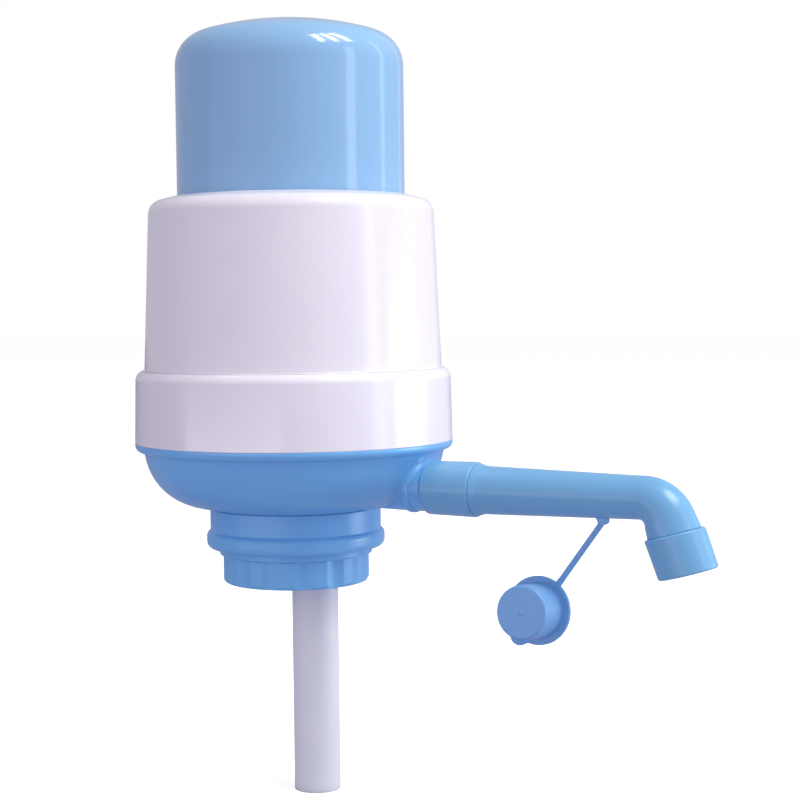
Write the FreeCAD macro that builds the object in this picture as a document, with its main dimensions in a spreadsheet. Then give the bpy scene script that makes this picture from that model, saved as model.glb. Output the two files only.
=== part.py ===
# Water jug hand pump, a bellows pump with a swivelling spout, in millimetres.
# The frame's origin is the centre of the adapter ring's bottom face, +Z is up the pump's
# own axis and the spout points along +X.

import FreeCAD, Part
import math
import os
import Sketcher

doc = FreeCAD.newDocument("water_jug_hand_pump")
Vector = FreeCAD.Vector


# Sizes: one plain number a line, named in the sheet
sheet = doc.addObject("Spreadsheet::Sheet", "Sizes")

SIZES = {
    # clearances
    "slide_gap": 0.3,
    "shaft_gap": 0.1,
    "seat_gap": 0.05,
    # press cap
    "cap_radius": 39.9,
    "cap_wall": 2.0,
    "cap_height": 61.0,
    "cap_crown": 111.0,
    "cap_shoulder": 12.0,
    "cap_rim_width": 3.5,
    "cap_rim_depth": 3.4,
    "cap_rib_inset": 4.5,
    "cap_rib_length": 11.0,
    "cap_rib_wall": 1.8,
    "cap_rib_slots": 4,
    "cap_rib_slot_width": 8.0,
    # outer sleeve
    "sleeve_wall": 2.2,
    "shoulder_width": 10.0,
    "shoulder_height": 2.3,
    "sleeve_height": 60.6,
    "sleeve_taper": 2.4,
    "band_step": 3.7,
    "band_height": 25.4,
    "band_draft": 0.6,
    "band_round": 3.4,
    "sleeve_round": 5.2,
    "guide_wall": 1.9,
    "guide_length": 14.0,
    "lip_round": 0.8,
    # base bowl
    "bowl_wall": 2.3,
    "lip_width": 3.0,
    "lip_height": 3.2,
    "lip_slope": 0.4,
    "bowl_taper": 3.9,
    "bowl_wall_height": 16.5,
    "bowl_foot_rise": 4.8,
    "bowl_round": 21.0,
    "rim_round": 2.4,
    "upstand_height": 7.0,
    "upstand_wall": 2.2,
    "bead_height": 0.5,
    "bead_length": 1.6,
    "bead_offset": 3.2,
    "ledge_depth": 5.5,
    "ledge_width": 2.5,
    "floor_hole_radius": 17.2,
    # water gallery and outlet
    "outlet_rise": 9.85,
    "gallery_radius": 8.0,
    "gallery_bore": 5.2,
    "stub_radius": 8.6,
    "stub_inset": 5.8,
    "stub_round": 1.2,
    "stub_taper": 0.7,
    "stub_length": 22.2,
    # suction tube and its socket
    "tube_offset": 7.7,
    "tube_radius": 8.15,
    "tube_wall": 1.25,
    "tube_bottom": -74.0,
    "tube_seat": 4.4,
    "socket_radius": 11.4,
    "seal_rise": 2.5,
    "seal_wire": 1.0,
    # deck, its seal and screws
    "deck_wall": 2.5,
    "deck_seal_height": 0.8,
    "screw_count": 4,
    "screw_inset": 6.3,
    "screw_radius": 1.75,
    "screw_head_radius": 3.4,
    "screw_head_height": 2.2,
    "screw_length": 9.0,
    "screw_boss_radius": 4.2,
    "screw_boss_length": 11.5,
    "screw_slot": 0.9,
    # bellows, spring and their plates
    "spigot_step": 1.0,
    "spigot_wall": 2.4,
    "spigot_height": 7.6,
    "bellows_wall": 1.2,
    "bellows_gap": 2.3,
    "fold_depth": 6.6,
    "bellows_folds": 9,
    "bellows_cuff": 7.4,
    "bellows_lip": 2.8,
    "clamp_wall": 2.4,
    "clamp_height": 5.0,
    "clamp_lift": 1.4,
    "head_wall": 3.2,
    "spring_gap": 4.1,
    "spring_wire": 1.1,
    "spring_turns": 7,
    # umbrella valves
    "valve_radius": 8.0,
    "valve_wall": 1.3,
    "valve_dish": 0.7,
    "valve_stem": 1.7,
    "valve_knob": 2.5,
    "valve_knob_length": 2.6,
    "valve_offset": 13.5,
    "port_count": 6,
    "port_radius": 1.5,
    "port_circle": 5.0,
    # neck collar, gasket and adapter ring
    "collar_radius": 30.2,
    "collar_skirt_height": 6.8,
    "collar_bead_depth": 1.3,
    "collar_bead_height": 6.4,
    "collar_step_height": 2.4,
    "collar_step_radius": 27.0,
    "collar_bore": 24.9,
    "collar_web": 2.6,
    "neck_bore": 17.6,
    "neck_wall": 2.4,
    "neck_length": 8.2,
    "snap_width": 1.5,
    "snap_depth": 1.5,
    "gasket_wall": 2.0,
    "gasket_radius": 23.0,
    "gasket_lip": 1.6,
    "gasket_lip_depth": 2.4,
    "ring_radius": 25.8,
    "ring_wall": 2.2,
    "ring_skirt_height": 9.6,
    "ring_gap": 1.3,
    "ring_flange": 2.0,
    "ring_round": 1.9,
    "flute_count": 14,
    "flute_radius": 8.0,
    "flute_depth": 0.9,
    # outlet nipple, its seal and the socket collar
    "nipple_radius": 6.4,
    "nipple_bore": 4.4,
    "nipple_tail": 11.0,
    "nipple_tail_radius": 6.8,
    "nipple_collar_radius": 8.2,
    "nipple_groove_offset": 7.2,
    "nipple_groove_width": 1.6,
    "nipple_seal_wire": 0.5,
    "nipple_bead": 0.6,
    "nipple_bead_length": 1.0,
    "socket_gap": 4.6,
    "socket_length": 18.2,
    "socket_bore_length": 13.6,
    "socket_start_radius": 9.1,
    "socket_end_radius": 9.3,
    "socket_edge": 0.7,
    "tenon_length": 3.2,
    "tenon_radius": 8.0,
    # spout arm
    "arm_shoulder_radius": 8.9,
    "arm_shoulder_length": 2.8,
    "arm_start_radius": 8.1,
    "arm_end_radius": 7.05,
    "arm_bore": 5.0,
    "arm_length": 65.4,
    "bend_radius": 10.0,
    "spout_tilt": 20.5,
    "flare_start_radius": 8.3,
    "flare_end_radius": 8.8,
    "outlet_length": 11.6,
    "outlet_spigot_radius": 7.3,
    "outlet_spigot_length": 4.4,
    # nozzle tip
    "tip_length": 13.5,
    "tip_top_radius": 9.9,
    "tip_end_radius": 9.75,
    "tip_bore": 9.0,
    "tip_edge": 0.5,
    # strap and nozzle cap
    "strap_setback": 20.2,
    "strap_drop": 8.15,
    "strap_tilt": 36.0,
    "strap_length": 24.8,
    "strap_width": 1.9,
    "strap_depth": 1.5,
    "strap_eye_radius": 1.7,
    "strap_pin_radius": 0.9,
    "strap_pin_length": 4.6,
    "lug_radius": 1.9,
    "lug_wall": 1.6,
    "plug_flange_radius": 11.3,
    "plug_flange_wall": 1.5,
    "plug_radius": 8.95,
    "plug_end_radius": 8.85,
    "plug_depth": 9.3,
    "plug_wall": 1.4,
    "plug_round": 0.9,
    "plug_gate_radius": 1.1,
    "plug_gate_height": 0.5,
    "plug_neck": 2.2,
    "plug_twist": 10.5,
    "tab_turn": 16.5,
    "tab_reach": 13.6,
    "tab_width": 10.0,
    "tab_round": 2.4,
}

for row, (name, number) in enumerate(SIZES.items(), start=1):
    sheet.set(f"A{row}", name)
    sheet.set(f"B{row}", str(number))
    sheet.setAlias(f"B{row}", name)
doc.recompute()


class Size:
    """A size that knows its number and the sheet formula that gives it."""

    def __init__(self, number, formula):
        self.number = number
        self.formula = formula

    def __add__(self, other):
        other = as_size(other)
        return Size(self.number + other.number, f"({self.formula} + {other.formula})")

    def __sub__(self, other):
        other = as_size(other)
        return Size(self.number - other.number, f"({self.formula} - {other.formula})")

    def __mul__(self, other):
        other = as_size(other)
        return Size(self.number * other.number, f"({self.formula} * {other.formula})")

    def __truediv__(self, other):
        other = as_size(other)
        return Size(self.number / other.number, f"({self.formula} / {other.formula})")

    def __neg__(self):
        return Size(-self.number, f"(0 - {self.formula})")

    def __radd__(self, other):
        return as_size(other) + self

    def __rsub__(self, other):
        return as_size(other) - self

    def __rmul__(self, other):
        return as_size(other) * self

    def __rtruediv__(self, other):
        return as_size(other) / self

    def root(self):
        return Size(math.sqrt(self.number), f"sqrt({self.formula})")

    def sin(self):
        return Size(math.sin(math.radians(self.number)), f"sin({self.formula})")

    def cos(self):
        return Size(math.cos(math.radians(self.number)), f"cos({self.formula})")

    def tan(self):
        return Size(math.tan(math.radians(self.number)), f"tan({self.formula})")


def as_size(value):
    if isinstance(value, Size):
        return value
    return Size(float(value), str(value))


class Sizes:
    """Every alias of the sheet as a Size."""

    def __getattr__(self, name):
        return Size(float(sheet.get(name)), f"Sizes.{name}")


s = Sizes()
ZERO = as_size(0)


# Heights that follow from the sheet, from the ring's foot upward
s.collar_bottom = s.ring_skirt_height + s.slide_gap
s.collar_bead_bottom = s.collar_bottom + s.collar_step_height
s.collar_bead_top = s.collar_bead_bottom + s.collar_bead_height
s.bowl_bottom = s.collar_bead_top + s.collar_skirt_height
s.neck_bottom = s.bowl_bottom - s.neck_length
s.ring_top = s.bowl_bottom - s.collar_web - s.ring_gap
s.bowl_corner_height = s.bowl_bottom + s.bowl_foot_rise
s.bowl_mouth_height = s.bowl_corner_height + s.bowl_wall_height
s.band_bottom = s.bowl_mouth_height + s.lip_height
s.ledge_height = s.band_bottom - s.ledge_depth
s.band_top = s.band_bottom + s.band_height
s.sleeve_top = s.band_top + s.sleeve_height
s.sleeve_edge_height = s.sleeve_top - s.shoulder_height
s.cap_top = s.sleeve_top + s.cap_height
s.head_height = s.cap_top - s.cap_rib_length
s.outlet_height = s.bowl_bottom + s.outlet_rise
s.tube_top = s.outlet_height - s.tube_seat
s.seal_height = s.bowl_bottom + s.seal_rise

# Radii that follow, from the cap inward to the spring and outward to the bowl
s.bellows_outer = s.cap_radius - s.cap_wall - s.bellows_gap
s.bellows_inner = s.bellows_outer - s.fold_depth
s.spigot_radius = s.bellows_inner + s.spigot_step
s.cap_rib_radius = s.spigot_radius - s.cap_rib_inset
s.spring_radius = s.spigot_radius - s.spigot_wall - s.spring_gap
s.sleeve_head_radius = s.cap_radius + s.shoulder_width
s.sleeve_foot_radius = s.sleeve_head_radius + s.sleeve_taper
s.band_radius = s.sleeve_foot_radius + s.band_step
s.bowl_mouth_radius = s.band_radius - s.lip_width
s.bowl_corner_radius = s.bowl_mouth_radius - s.bowl_taper
s.bowl_foot_radius = s.collar_radius
s.collar_bead_radius = s.collar_radius + s.collar_bead_depth
s.upstand_radius = s.band_radius - s.sleeve_wall - s.slide_gap - s.bead_height
s.screw_circle = s.upstand_radius - s.upstand_wall - s.ledge_width - s.screw_inset

# Stations along the spout, from the pump's axis outward
s.stub_end = s.band_radius - s.stub_inset
s.socket_start = s.stub_end + s.socket_gap
s.socket_end = s.socket_start + s.socket_length
s.socket_bore_end = s.socket_start + s.socket_bore_length
s.nipple_groove = s.socket_start + s.nipple_groove_offset
s.arm_corner = s.socket_end + s.arm_length
s.strap_root = s.arm_corner - s.strap_setback


# Drawing and shaping
def origin_item(body, role):
    return next(item for item in body.Origin.OriginFeatures if item.Role == role)


def pin_point(sketch, geometry, end, x, y, name):
    """Hold one point of the sketch at x, y by named distances from the origin."""
    for axis, value, distance in ((-2, x, "DistanceX"), (-1, y, "DistanceY")):
        value = as_size(value)
        if value.formula == "0":
            sketch.addConstraint(Sketcher.Constraint("PointOnObject", geometry, end, axis))
            continue
        rule = Sketcher.Constraint(distance, -1, 1, geometry, end, value.number)
        index = sketch.addConstraint(rule)
        label = f"{name}_{distance[-1].lower()}"
        sketch.renameConstraint(index, label)
        sketch.setExpression(f"Constraints.{label}", value.formula)


def arc_between(start, end, radius, turns_left):
    """The short arc from start to end, as the sketch draws it, anticlockwise."""
    middle = (start + end) * 0.5
    half = (end - start).Length / 2
    reach = math.sqrt(max(radius * radius - half * half, 0.0))
    along = (end - start).normalize()
    left = Vector(-along.y, along.x, 0)
    centre = middle + left * (reach if turns_left else -reach)
    first, last = (start, end) if turns_left else (end, start)
    first_angle = math.atan2(first.y - centre.y, first.x - centre.x)
    last_angle = math.atan2(last.y - centre.y, last.x - centre.x)
    circle = Part.Circle(centre, Vector(0, 0, 1), radius)
    return Part.ArcOfCircle(circle, first_angle, last_angle)


def draw_outline(sketch, corners):
    """Draw a closed outline and hold every corner by the sheet.

    A corner is (x, y), (x, y, "round", radius) where two straight runs meet in a
    rounding, or (x, y, "left" or "right", radius) at the end of an arc that turns that
    way from the corner before it."""
    count = len(corners)
    places = [Vector(as_size(c[0]).number, as_size(c[1]).number, 0) for c in corners]
    kinds = [c[2] if len(c) > 2 else "sharp" for c in corners]
    radii = [as_size(c[3]) if len(c) > 2 else None for c in corners]
    leaves = list(places)
    arrives = list(places)
    turns = [False] * count
    for i in range(count):
        if kinds[i] != "round":
            continue
        back = (places[i - 1] - places[i]).normalize()
        ahead = (places[(i + 1) % count] - places[i]).normalize()
        reach = radii[i].number / math.tan(back.getAngle(ahead) / 2)
        arrives[i] = places[i] + back * reach
        leaves[i] = places[i] + ahead * reach
        turns[i] = back.x * ahead.y - back.y * ahead.x < 0
    # each edge runs from corner i to the next one
    edges = []
    for i in range(count):
        after = (i + 1) % count
        if kinds[after] in ("left", "right"):
            left = kinds[after] == "left"
            curve = arc_between(leaves[i], arrives[after], radii[after].number, left)
            index = sketch.addGeometry(curve, False)
            edges.append((index, 1, 2) if left else (index, 2, 1))
            rule = Sketcher.Constraint("Radius", index, radii[after].number)
            label = f"arc{after}_radius"
            sketch.renameConstraint(sketch.addConstraint(rule), label)
            sketch.setExpression(f"Constraints.{label}", radii[after].formula)
        else:
            line = Part.LineSegment(leaves[i], arrives[after])
            edges.append((sketch.addGeometry(line, False), 1, 2))
    for i in range(count):
        before, here = edges[i - 1], edges[i]
        x, y = corners[i][0], corners[i][1]
        if kinds[i] == "round":
            curve = arc_between(arrives[i], leaves[i], radii[i].number, turns[i])
            index = sketch.addGeometry(curve, False)
            near, far = (1, 2) if turns[i] else (2, 1)
            point = sketch.addGeometry(Part.Point(places[i]), True)
            pin_point(sketch, point, 1, x, y, f"corner{i}")
            for rule in (
                Sketcher.Constraint("Tangent", before[0], before[2], index, near),
                Sketcher.Constraint("Tangent", index, far, here[0], here[1]),
                Sketcher.Constraint("PointOnObject", point, 1, before[0]),
                Sketcher.Constraint("PointOnObject", point, 1, here[0]),
            ):
                sketch.addConstraint(rule)
            rule = Sketcher.Constraint("Radius", index, radii[i].number)
            label = f"round{i}_radius"
            sketch.renameConstraint(sketch.addConstraint(rule), label)
            sketch.setExpression(f"Constraints.{label}", radii[i].formula)
        else:
            meet = Sketcher.Constraint("Coincident", before[0], before[2], here[0], here[1])
            sketch.addConstraint(meet)
            pin_point(sketch, here[0], here[1], x, y, f"corner{i}")


def new_sketch(body, name, role):
    sketch = body.newObject("Sketcher::SketchObject", name)
    sketch.AttachmentSupport = [(origin_item(body, role), "")]
    sketch.MapMode = "FlatFace"
    return sketch


def new_body(name):
    body = doc.addObject("PartDesign::Body", name)
    body.Label = name
    return body


def revolve(body, corners, axis="V_Axis"):
    """Turn an outline drawn in the XZ plane round the sketch's own axis."""
    sketch = new_sketch(body, body.Name + "_outline", "XZ_Plane")
    draw_outline(sketch, corners)
    turned = body.newObject("PartDesign::Revolution", body.Name + "_turned")
    turned.Profile = sketch
    turned.ReferenceAxis = (sketch, [axis])
    turned.Angle = 360
    return turned


def place(item, x, y, z, *turns):
    """Bind a place, and turns as (axis, degrees), the last of which acts first."""
    spins = []
    for axis, angle in turns:
        vector = f"vector({axis[0]}; {axis[1]}; {axis[2]})"
        spins.append(f"rotation({vector}; {as_size(angle).formula})")
    spin = " * ".join(spins) if spins else "rotation(vector(0; 0; 1); 0)"
    base = "; ".join(as_size(value).formula for value in (x, y, z))
    item.setExpression("Placement", f"placement(vector({base}); {spin})")


def cylinder(name, radius, length, x, y, z, *turns):
    item = doc.addObject("Part::Cylinder", name)
    item.setExpression("Radius", as_size(radius).formula)
    item.setExpression("Height", as_size(length).formula)
    place(item, x, y, z, *turns)
    return item


def cone(name, radius, end_radius, length, x, y, z, *turns):
    item = doc.addObject("Part::Cone", name)
    item.setExpression("Radius1", as_size(radius).formula)
    item.setExpression("Radius2", as_size(end_radius).formula)
    item.setExpression("Height", as_size(length).formula)
    place(item, x, y, z, *turns)
    return item


def block(name, length, width, height, x, y, z, *turns):
    item = doc.addObject("Part::Box", name)
    item.setExpression("Length", as_size(length).formula)
    item.setExpression("Width", as_size(width).formula)
    item.setExpression("Height", as_size(height).formula)
    place(item, x, y, z, *turns)
    return item


def torus(name, radius, wire, x, y, z, *turns):
    item = doc.addObject("Part::Torus", name)
    item.setExpression("Radius1", as_size(radius).formula)
    item.setExpression("Radius2", as_size(wire).formula)
    place(item, x, y, z, *turns)
    return item


def fuse(name, *items):
    whole = doc.addObject("Part::MultiFuse", name)
    whole.Shapes = list(items)
    whole.Refine = True
    return whole


def cut(name, base, tool):
    whole = doc.addObject("Part::Cut", name)
    whole.Base = base
    whole.Tool = tool
    whole.Refine = True
    return whole


def punch(body, name, role, offset, x, y, radius, length, count):
    """A round hole through a body, repeated round the Z axis."""
    sketch = new_sketch(body, name + "_circle", role)
    sketch.setExpression("AttachmentOffset.Base.z", as_size(offset).formula)
    circle = Part.Circle(Vector(as_size(x).number, as_size(y).number, 0), Vector(0, 0, 1),
                         as_size(radius).number)
    index = sketch.addGeometry(circle, False)
    pin_point(sketch, index, 3, x, y, "centre")
    rule = Sketcher.Constraint("Radius", index, as_size(radius).number)
    sketch.renameConstraint(sketch.addConstraint(rule), "radius")
    sketch.setExpression("Constraints.radius", as_size(radius).formula)
    pocket = body.newObject("PartDesign::Pocket", name)
    pocket.Profile = sketch
    pocket.setExpression("Length", as_size(length).formula)
    pocket.Midplane = True
    pattern = body.newObject("PartDesign::PolarPattern", name + "_round")
    pattern.Originals = [pocket]
    pattern.Axis = (origin_item(body, "Z_Axis"), [""])
    pattern.Angle = 360
    pattern.setExpression("Occurrences", count.formula)
    body.Tip = pattern
    return pattern


ALONG_X = ((0, 1, 0), 90)
NODES = []


def node(item, name):
    """Name a finished piece and keep it for export."""
    item.Label = name
    NODES.append(item)
    return item


# Heights that several pieces share
deck_bottom = s.ledge_height + s.deck_seal_height
deck_top = deck_bottom + s.deck_wall
guide_radius = s.cap_radius + s.slide_gap
guide_bottom = s.sleeve_top - s.guide_length
cap_rim_top = guide_bottom - s.slide_gap
head_bottom = s.head_height - s.head_wall


# Press cap: a crowned dome with a stop rim at its foot and a slotted rib inside
def dome_corners(inset):
    """The dome's outline from its top to its wall, inset from the outer face."""
    top = s.cap_top - inset
    crown = s.cap_crown - inset
    shoulder = s.cap_shoulder - inset
    wall = s.cap_radius - inset
    run = wall - shoulder
    centre = top - crown
    gap = crown - shoulder
    rise = (gap * gap - run * run).root()
    tangent_x = run * crown / gap
    tangent_z = centre + rise * crown / gap
    return [(0, top), (tangent_x, tangent_z, "right", crown),
            (wall, centre + rise, "right", shoulder)]


def make_press_cap():
    body = new_body("press_cap_shell")
    rim_radius = s.cap_radius + s.cap_rim_width
    rim_bottom = cap_rim_top - s.cap_rim_depth
    outer = dome_corners(ZERO)
    inner = dome_corners(s.cap_wall)
    back = [(inner[2][0], inner[2][1]),
            (inner[1][0], inner[1][1], "left", inner[2][3]),
            (0, inner[0][1], "left", inner[1][3])]
    revolve(body, outer + [
        (s.cap_radius, cap_rim_top),
        (rim_radius, cap_rim_top),
        (rim_radius, rim_bottom),
        (s.cap_radius - s.cap_wall, rim_bottom),
    ] + back)
    rib = new_body("press_cap_rib")
    reach = s.cap_top - s.cap_wall
    revolve(rib, [
        (s.cap_rib_radius - s.cap_rib_wall, s.head_height),
        (s.cap_rib_radius, s.head_height),
        (s.cap_rib_radius, reach),
        (s.cap_rib_radius - s.cap_rib_wall, reach),
    ])
    slots = []
    for i in range(int(s.cap_rib_slots.number)):
        slot = block(f"press_cap_slot{i}", s.cap_rib_radius, s.cap_rib_slot_width,
                     (s.cap_top - s.head_height) / 2, 0, 0, s.head_height)
        angle = (i * 360 + 180) / s.cap_rib_slots
        place(slot, s.cap_rib_slot_width / 2 * angle.sin(),
              -(s.cap_rib_slot_width / 2 * angle.cos()), s.head_height,
              ((0, 0, 1), angle))
        slots.append(slot)
    slotted = cut("press_cap_slotted_rib", rib, fuse("press_cap_slots", *slots))
    # the rib's top is trimmed to the crown by the outer dome
    bulk = new_body("press_cap_bulk")
    revolve(bulk, dome_corners(s.cap_wall / 2) + [
        (s.cap_radius - s.cap_wall / 2, s.head_height - s.cap_shoulder),
        (0, s.head_height - s.cap_shoulder),
    ])
    trimmed = doc.addObject("Part::Common", "press_cap_trimmed_rib")
    trimmed.Base = slotted
    trimmed.Tool = bulk
    node(fuse("press_cap", body, trimmed), "press_cap")


# Outer sleeve: a drafted shell with a stepped band and a turned-in guide for the cap
def make_outer_sleeve():
    body = new_body("outer_sleeve")
    wall = s.sleeve_wall
    seat = s.upstand_radius + s.slide_gap
    band_inner = s.band_radius - wall
    bead_bottom = s.band_bottom + s.bead_offset
    bead_depth = s.bead_height
    bead = s.bead_length
    revolve(body, [
        (s.band_radius, s.band_bottom),
        (s.band_radius - s.band_draft, s.band_top, "round", s.band_round),
        (s.sleeve_foot_radius, s.band_top),
        (s.sleeve_head_radius, s.sleeve_edge_height, "round", s.sleeve_round),
        (guide_radius, s.sleeve_top, "round", s.lip_round),
        (guide_radius, guide_bottom),
        (guide_radius + s.guide_wall, guide_bottom),
        (guide_radius + s.guide_wall, s.sleeve_edge_height - wall / 2),
        (s.sleeve_head_radius - wall, s.sleeve_edge_height - wall, "round",
         s.sleeve_round - wall),
        (s.sleeve_foot_radius - wall, s.band_top - wall),
        (band_inner - s.band_draft, s.band_top - wall, "round", s.band_round - wall),
        (seat, s.band_bottom + s.upstand_height + wall),
        (seat, bead_bottom + bead + bead_depth + s.slide_gap),
        (seat + bead_depth, bead_bottom + bead + s.slide_gap),
        (seat + bead_depth, bead_bottom - s.slide_gap),
        (seat, bead_bottom - bead_depth - s.slide_gap),
        (seat, s.band_bottom),
    ])
    node(body, "outer_sleeve")


# Base bowl: a moulded shell whose water gallery turns the suction tube's flow out sideways
def make_base_bowl():
    shell = new_body("bowl_shell")
    wall = s.bowl_wall
    ledge_radius = s.upstand_radius - s.upstand_wall
    bead_bottom = s.band_bottom + s.bead_offset
    revolve(shell, [
        (s.floor_hole_radius, s.bowl_bottom),
        (s.bowl_foot_radius, s.bowl_bottom),
        (s.bowl_corner_radius, s.bowl_corner_height, "round", s.bowl_round),
        (s.bowl_mouth_radius, s.bowl_mouth_height),
        (s.band_radius, s.bowl_mouth_height + s.lip_slope, "round", s.rim_round),
        (s.band_radius, s.band_bottom),
        (s.upstand_radius, s.band_bottom),
        (s.upstand_radius, bead_bottom - s.bead_height),
        (s.upstand_radius + s.bead_height, bead_bottom),
        (s.upstand_radius + s.bead_height, bead_bottom + s.bead_length),
        (s.upstand_radius, bead_bottom + s.bead_length + s.bead_height),
        (s.upstand_radius, s.band_bottom + s.upstand_height),
        (ledge_radius, s.band_bottom + s.upstand_height),
        (ledge_radius, s.ledge_height),
        (ledge_radius - s.ledge_width, s.ledge_height),
        (s.bowl_corner_radius - wall, s.bowl_corner_height + wall, "round",
         s.bowl_round - wall),
        (s.bowl_foot_radius, s.bowl_bottom + wall),
        (s.floor_hole_radius, s.bowl_bottom + wall),
    ])
    stub = new_body("bowl_stub")
    stub_start = s.stub_end - s.stub_length
    revolve(stub, [
        (stub_start, 0),
        (stub_start, s.stub_radius - s.stub_taper),
        (s.stub_end, s.stub_radius, "round", s.stub_round),
        (s.stub_end, 0),
    ], "H_Axis")
    place(stub, 0, 0, s.outlet_height)
    gallery = cylinder("bowl_gallery", s.gallery_radius, stub_start - s.tube_offset + 1,
                       s.tube_offset, 0, s.outlet_height, ALONG_X)
    socket = cylinder("bowl_tube_socket", s.socket_radius,
                      s.outlet_height - s.bowl_bottom + s.gallery_bore,
                      s.tube_offset, 0, s.bowl_bottom)
    bosses = []
    pilots = []
    for i in range(int(s.screw_count.number)):
        angle = (i * 360 + 180) / s.screw_count
        x = s.screw_circle * angle.cos()
        y = s.screw_circle * angle.sin()
        bosses.append(cylinder(f"bowl_boss{i}", s.screw_boss_radius, s.screw_boss_length,
                               x, y, deck_bottom - s.screw_boss_length))
        pilots.append(cylinder(f"bowl_pilot{i}", s.screw_radius + s.seat_gap,
                               s.screw_length, x, y, deck_top - s.screw_length))
    whole = fuse("bowl_whole", shell, stub, gallery, socket, *bosses)
    bore_end = s.tube_top - s.bowl_bottom
    tools = [
        cylinder("bowl_tube_bore", s.tube_radius + s.shaft_gap, bore_end, s.tube_offset, 0,
                 s.bowl_bottom),
        cylinder("bowl_riser", s.gallery_bore, s.outlet_height - s.bowl_bottom,
                 s.tube_offset, 0, s.bowl_bottom),
        cylinder("bowl_gallery_bore", s.gallery_bore, s.stub_end - s.tube_offset,
                 s.tube_offset, 0, s.outlet_height, ALONG_X),
        cylinder("bowl_nipple_bore", s.nipple_tail_radius + s.seat_gap, s.nipple_tail,
                 s.stub_end - s.nipple_tail, 0, s.outlet_height, ALONG_X),
        cylinder("bowl_nipple_relief", s.nipple_collar_radius + s.slide_gap,
                 s.socket_start - s.stub_end, s.stub_end, 0, s.outlet_height, ALONG_X),
        torus("bowl_seal_groove", s.tube_radius + s.shaft_gap + s.seal_wire,
              s.seal_wire + s.seat_gap, s.tube_offset, 0, s.seal_height),
    ]
    node(cut("base_bowl", whole, fuse("bowl_hollows", *tools, *pilots)), "base_bowl")


# Deck: the plate that closes the bowl, with the bellows spigot and the air ports
def make_deck():
    disc = new_body("deck_disc")
    edge = s.upstand_radius - s.upstand_wall - s.slide_gap
    inner = s.spigot_radius - s.spigot_wall
    revolve(disc, [
        (0, deck_bottom),
        (edge, deck_bottom),
        (edge, deck_top),
        (s.spigot_radius, deck_top),
        (s.spigot_radius, deck_top + s.spigot_height),
        (inner, deck_top + s.spigot_height),
        (inner, deck_top),
        (0, deck_top),
    ])
    holes = []
    for i in range(int(s.screw_count.number)):
        angle = (i * 360 + 180) / s.screw_count
        holes.append(cylinder(f"deck_screw_hole{i}", s.screw_radius + s.shaft_gap,
                              s.deck_wall, s.screw_circle * angle.cos(),
                              s.screw_circle * angle.sin(), deck_bottom))
    holes += valve_holes("deck", -s.valve_offset, deck_bottom, s.deck_wall)
    node(cut("deck_plate", disc, fuse("deck_holes", *holes)), "deck_plate")
    seal = new_body("deck_seal")
    inner = s.upstand_radius - s.upstand_wall - s.ledge_width
    revolve(seal, [
        (inner + s.slide_gap, s.ledge_height),
        (edge, s.ledge_height),
        (edge, deck_bottom),
        (inner + s.slide_gap, deck_bottom),
    ])
    node(seal, "deck_seal")


def valve_holes(name, x, z, wall):
    """The stem hole of an umbrella valve and the ring of air ports that it covers."""
    holes = [cylinder(f"{name}_stem_hole", s.valve_stem + s.seat_gap, wall, x, 0, z)]
    for i in range(int(s.port_count.number)):
        angle = as_size(i * 360) / s.port_count
        holes.append(cylinder(f"{name}_port{i}", s.port_radius, wall,
                              x + s.port_circle * angle.cos(),
                              s.port_circle * angle.sin(), z))
    return holes


def make_umbrella_valve(name, x, face, wall):
    """An umbrella valve under a plate whose lower face is at this height."""
    body = new_body(name)
    knob = wall + s.valve_knob_length
    revolve(body, [
        (0, -(s.valve_wall + s.valve_dish)),
        (s.valve_stem, -(s.valve_wall + s.valve_dish)),
        (s.valve_radius, -s.valve_wall / 2),
        (s.valve_radius, 0),
        (s.valve_stem, 0),
        (s.valve_stem, wall),
        (s.valve_knob, wall),
        (s.valve_stem, knob),
        (0, knob),
    ])
    place(body, x, 0, face)
    node(body, name)


# Deck screws: pan heads with a straight slot
def make_deck_screws():
    screws = []
    for i in range(int(s.screw_count.number)):
        angle = (i * 360 + 180) / s.screw_count
        body = new_body(f"deck_screw{i}")
        revolve(body, [
            (0, -s.screw_length),
            (s.screw_radius, -s.screw_length),
            (s.screw_radius, 0),
            (s.screw_head_radius, 0),
            (s.screw_head_radius, s.screw_head_height, "round", s.screw_head_height / 2),
            (0, s.screw_head_height),
        ])
        slot = block(f"deck_screw_slot{i}", s.screw_head_radius * 2, s.screw_slot,
                     s.screw_head_height / 2, -s.screw_head_radius, -s.screw_slot / 2,
                     s.screw_head_height / 2)
        whole = cut(f"deck_screw_whole{i}", body, slot)
        place(whole, s.screw_circle * angle.cos(), s.screw_circle * angle.sin(), deck_top)
        screws.append(whole)
    group = doc.addObject("Part::Compound", "deck_screws")
    group.Links = screws
    node(group, "deck_screws")


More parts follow.
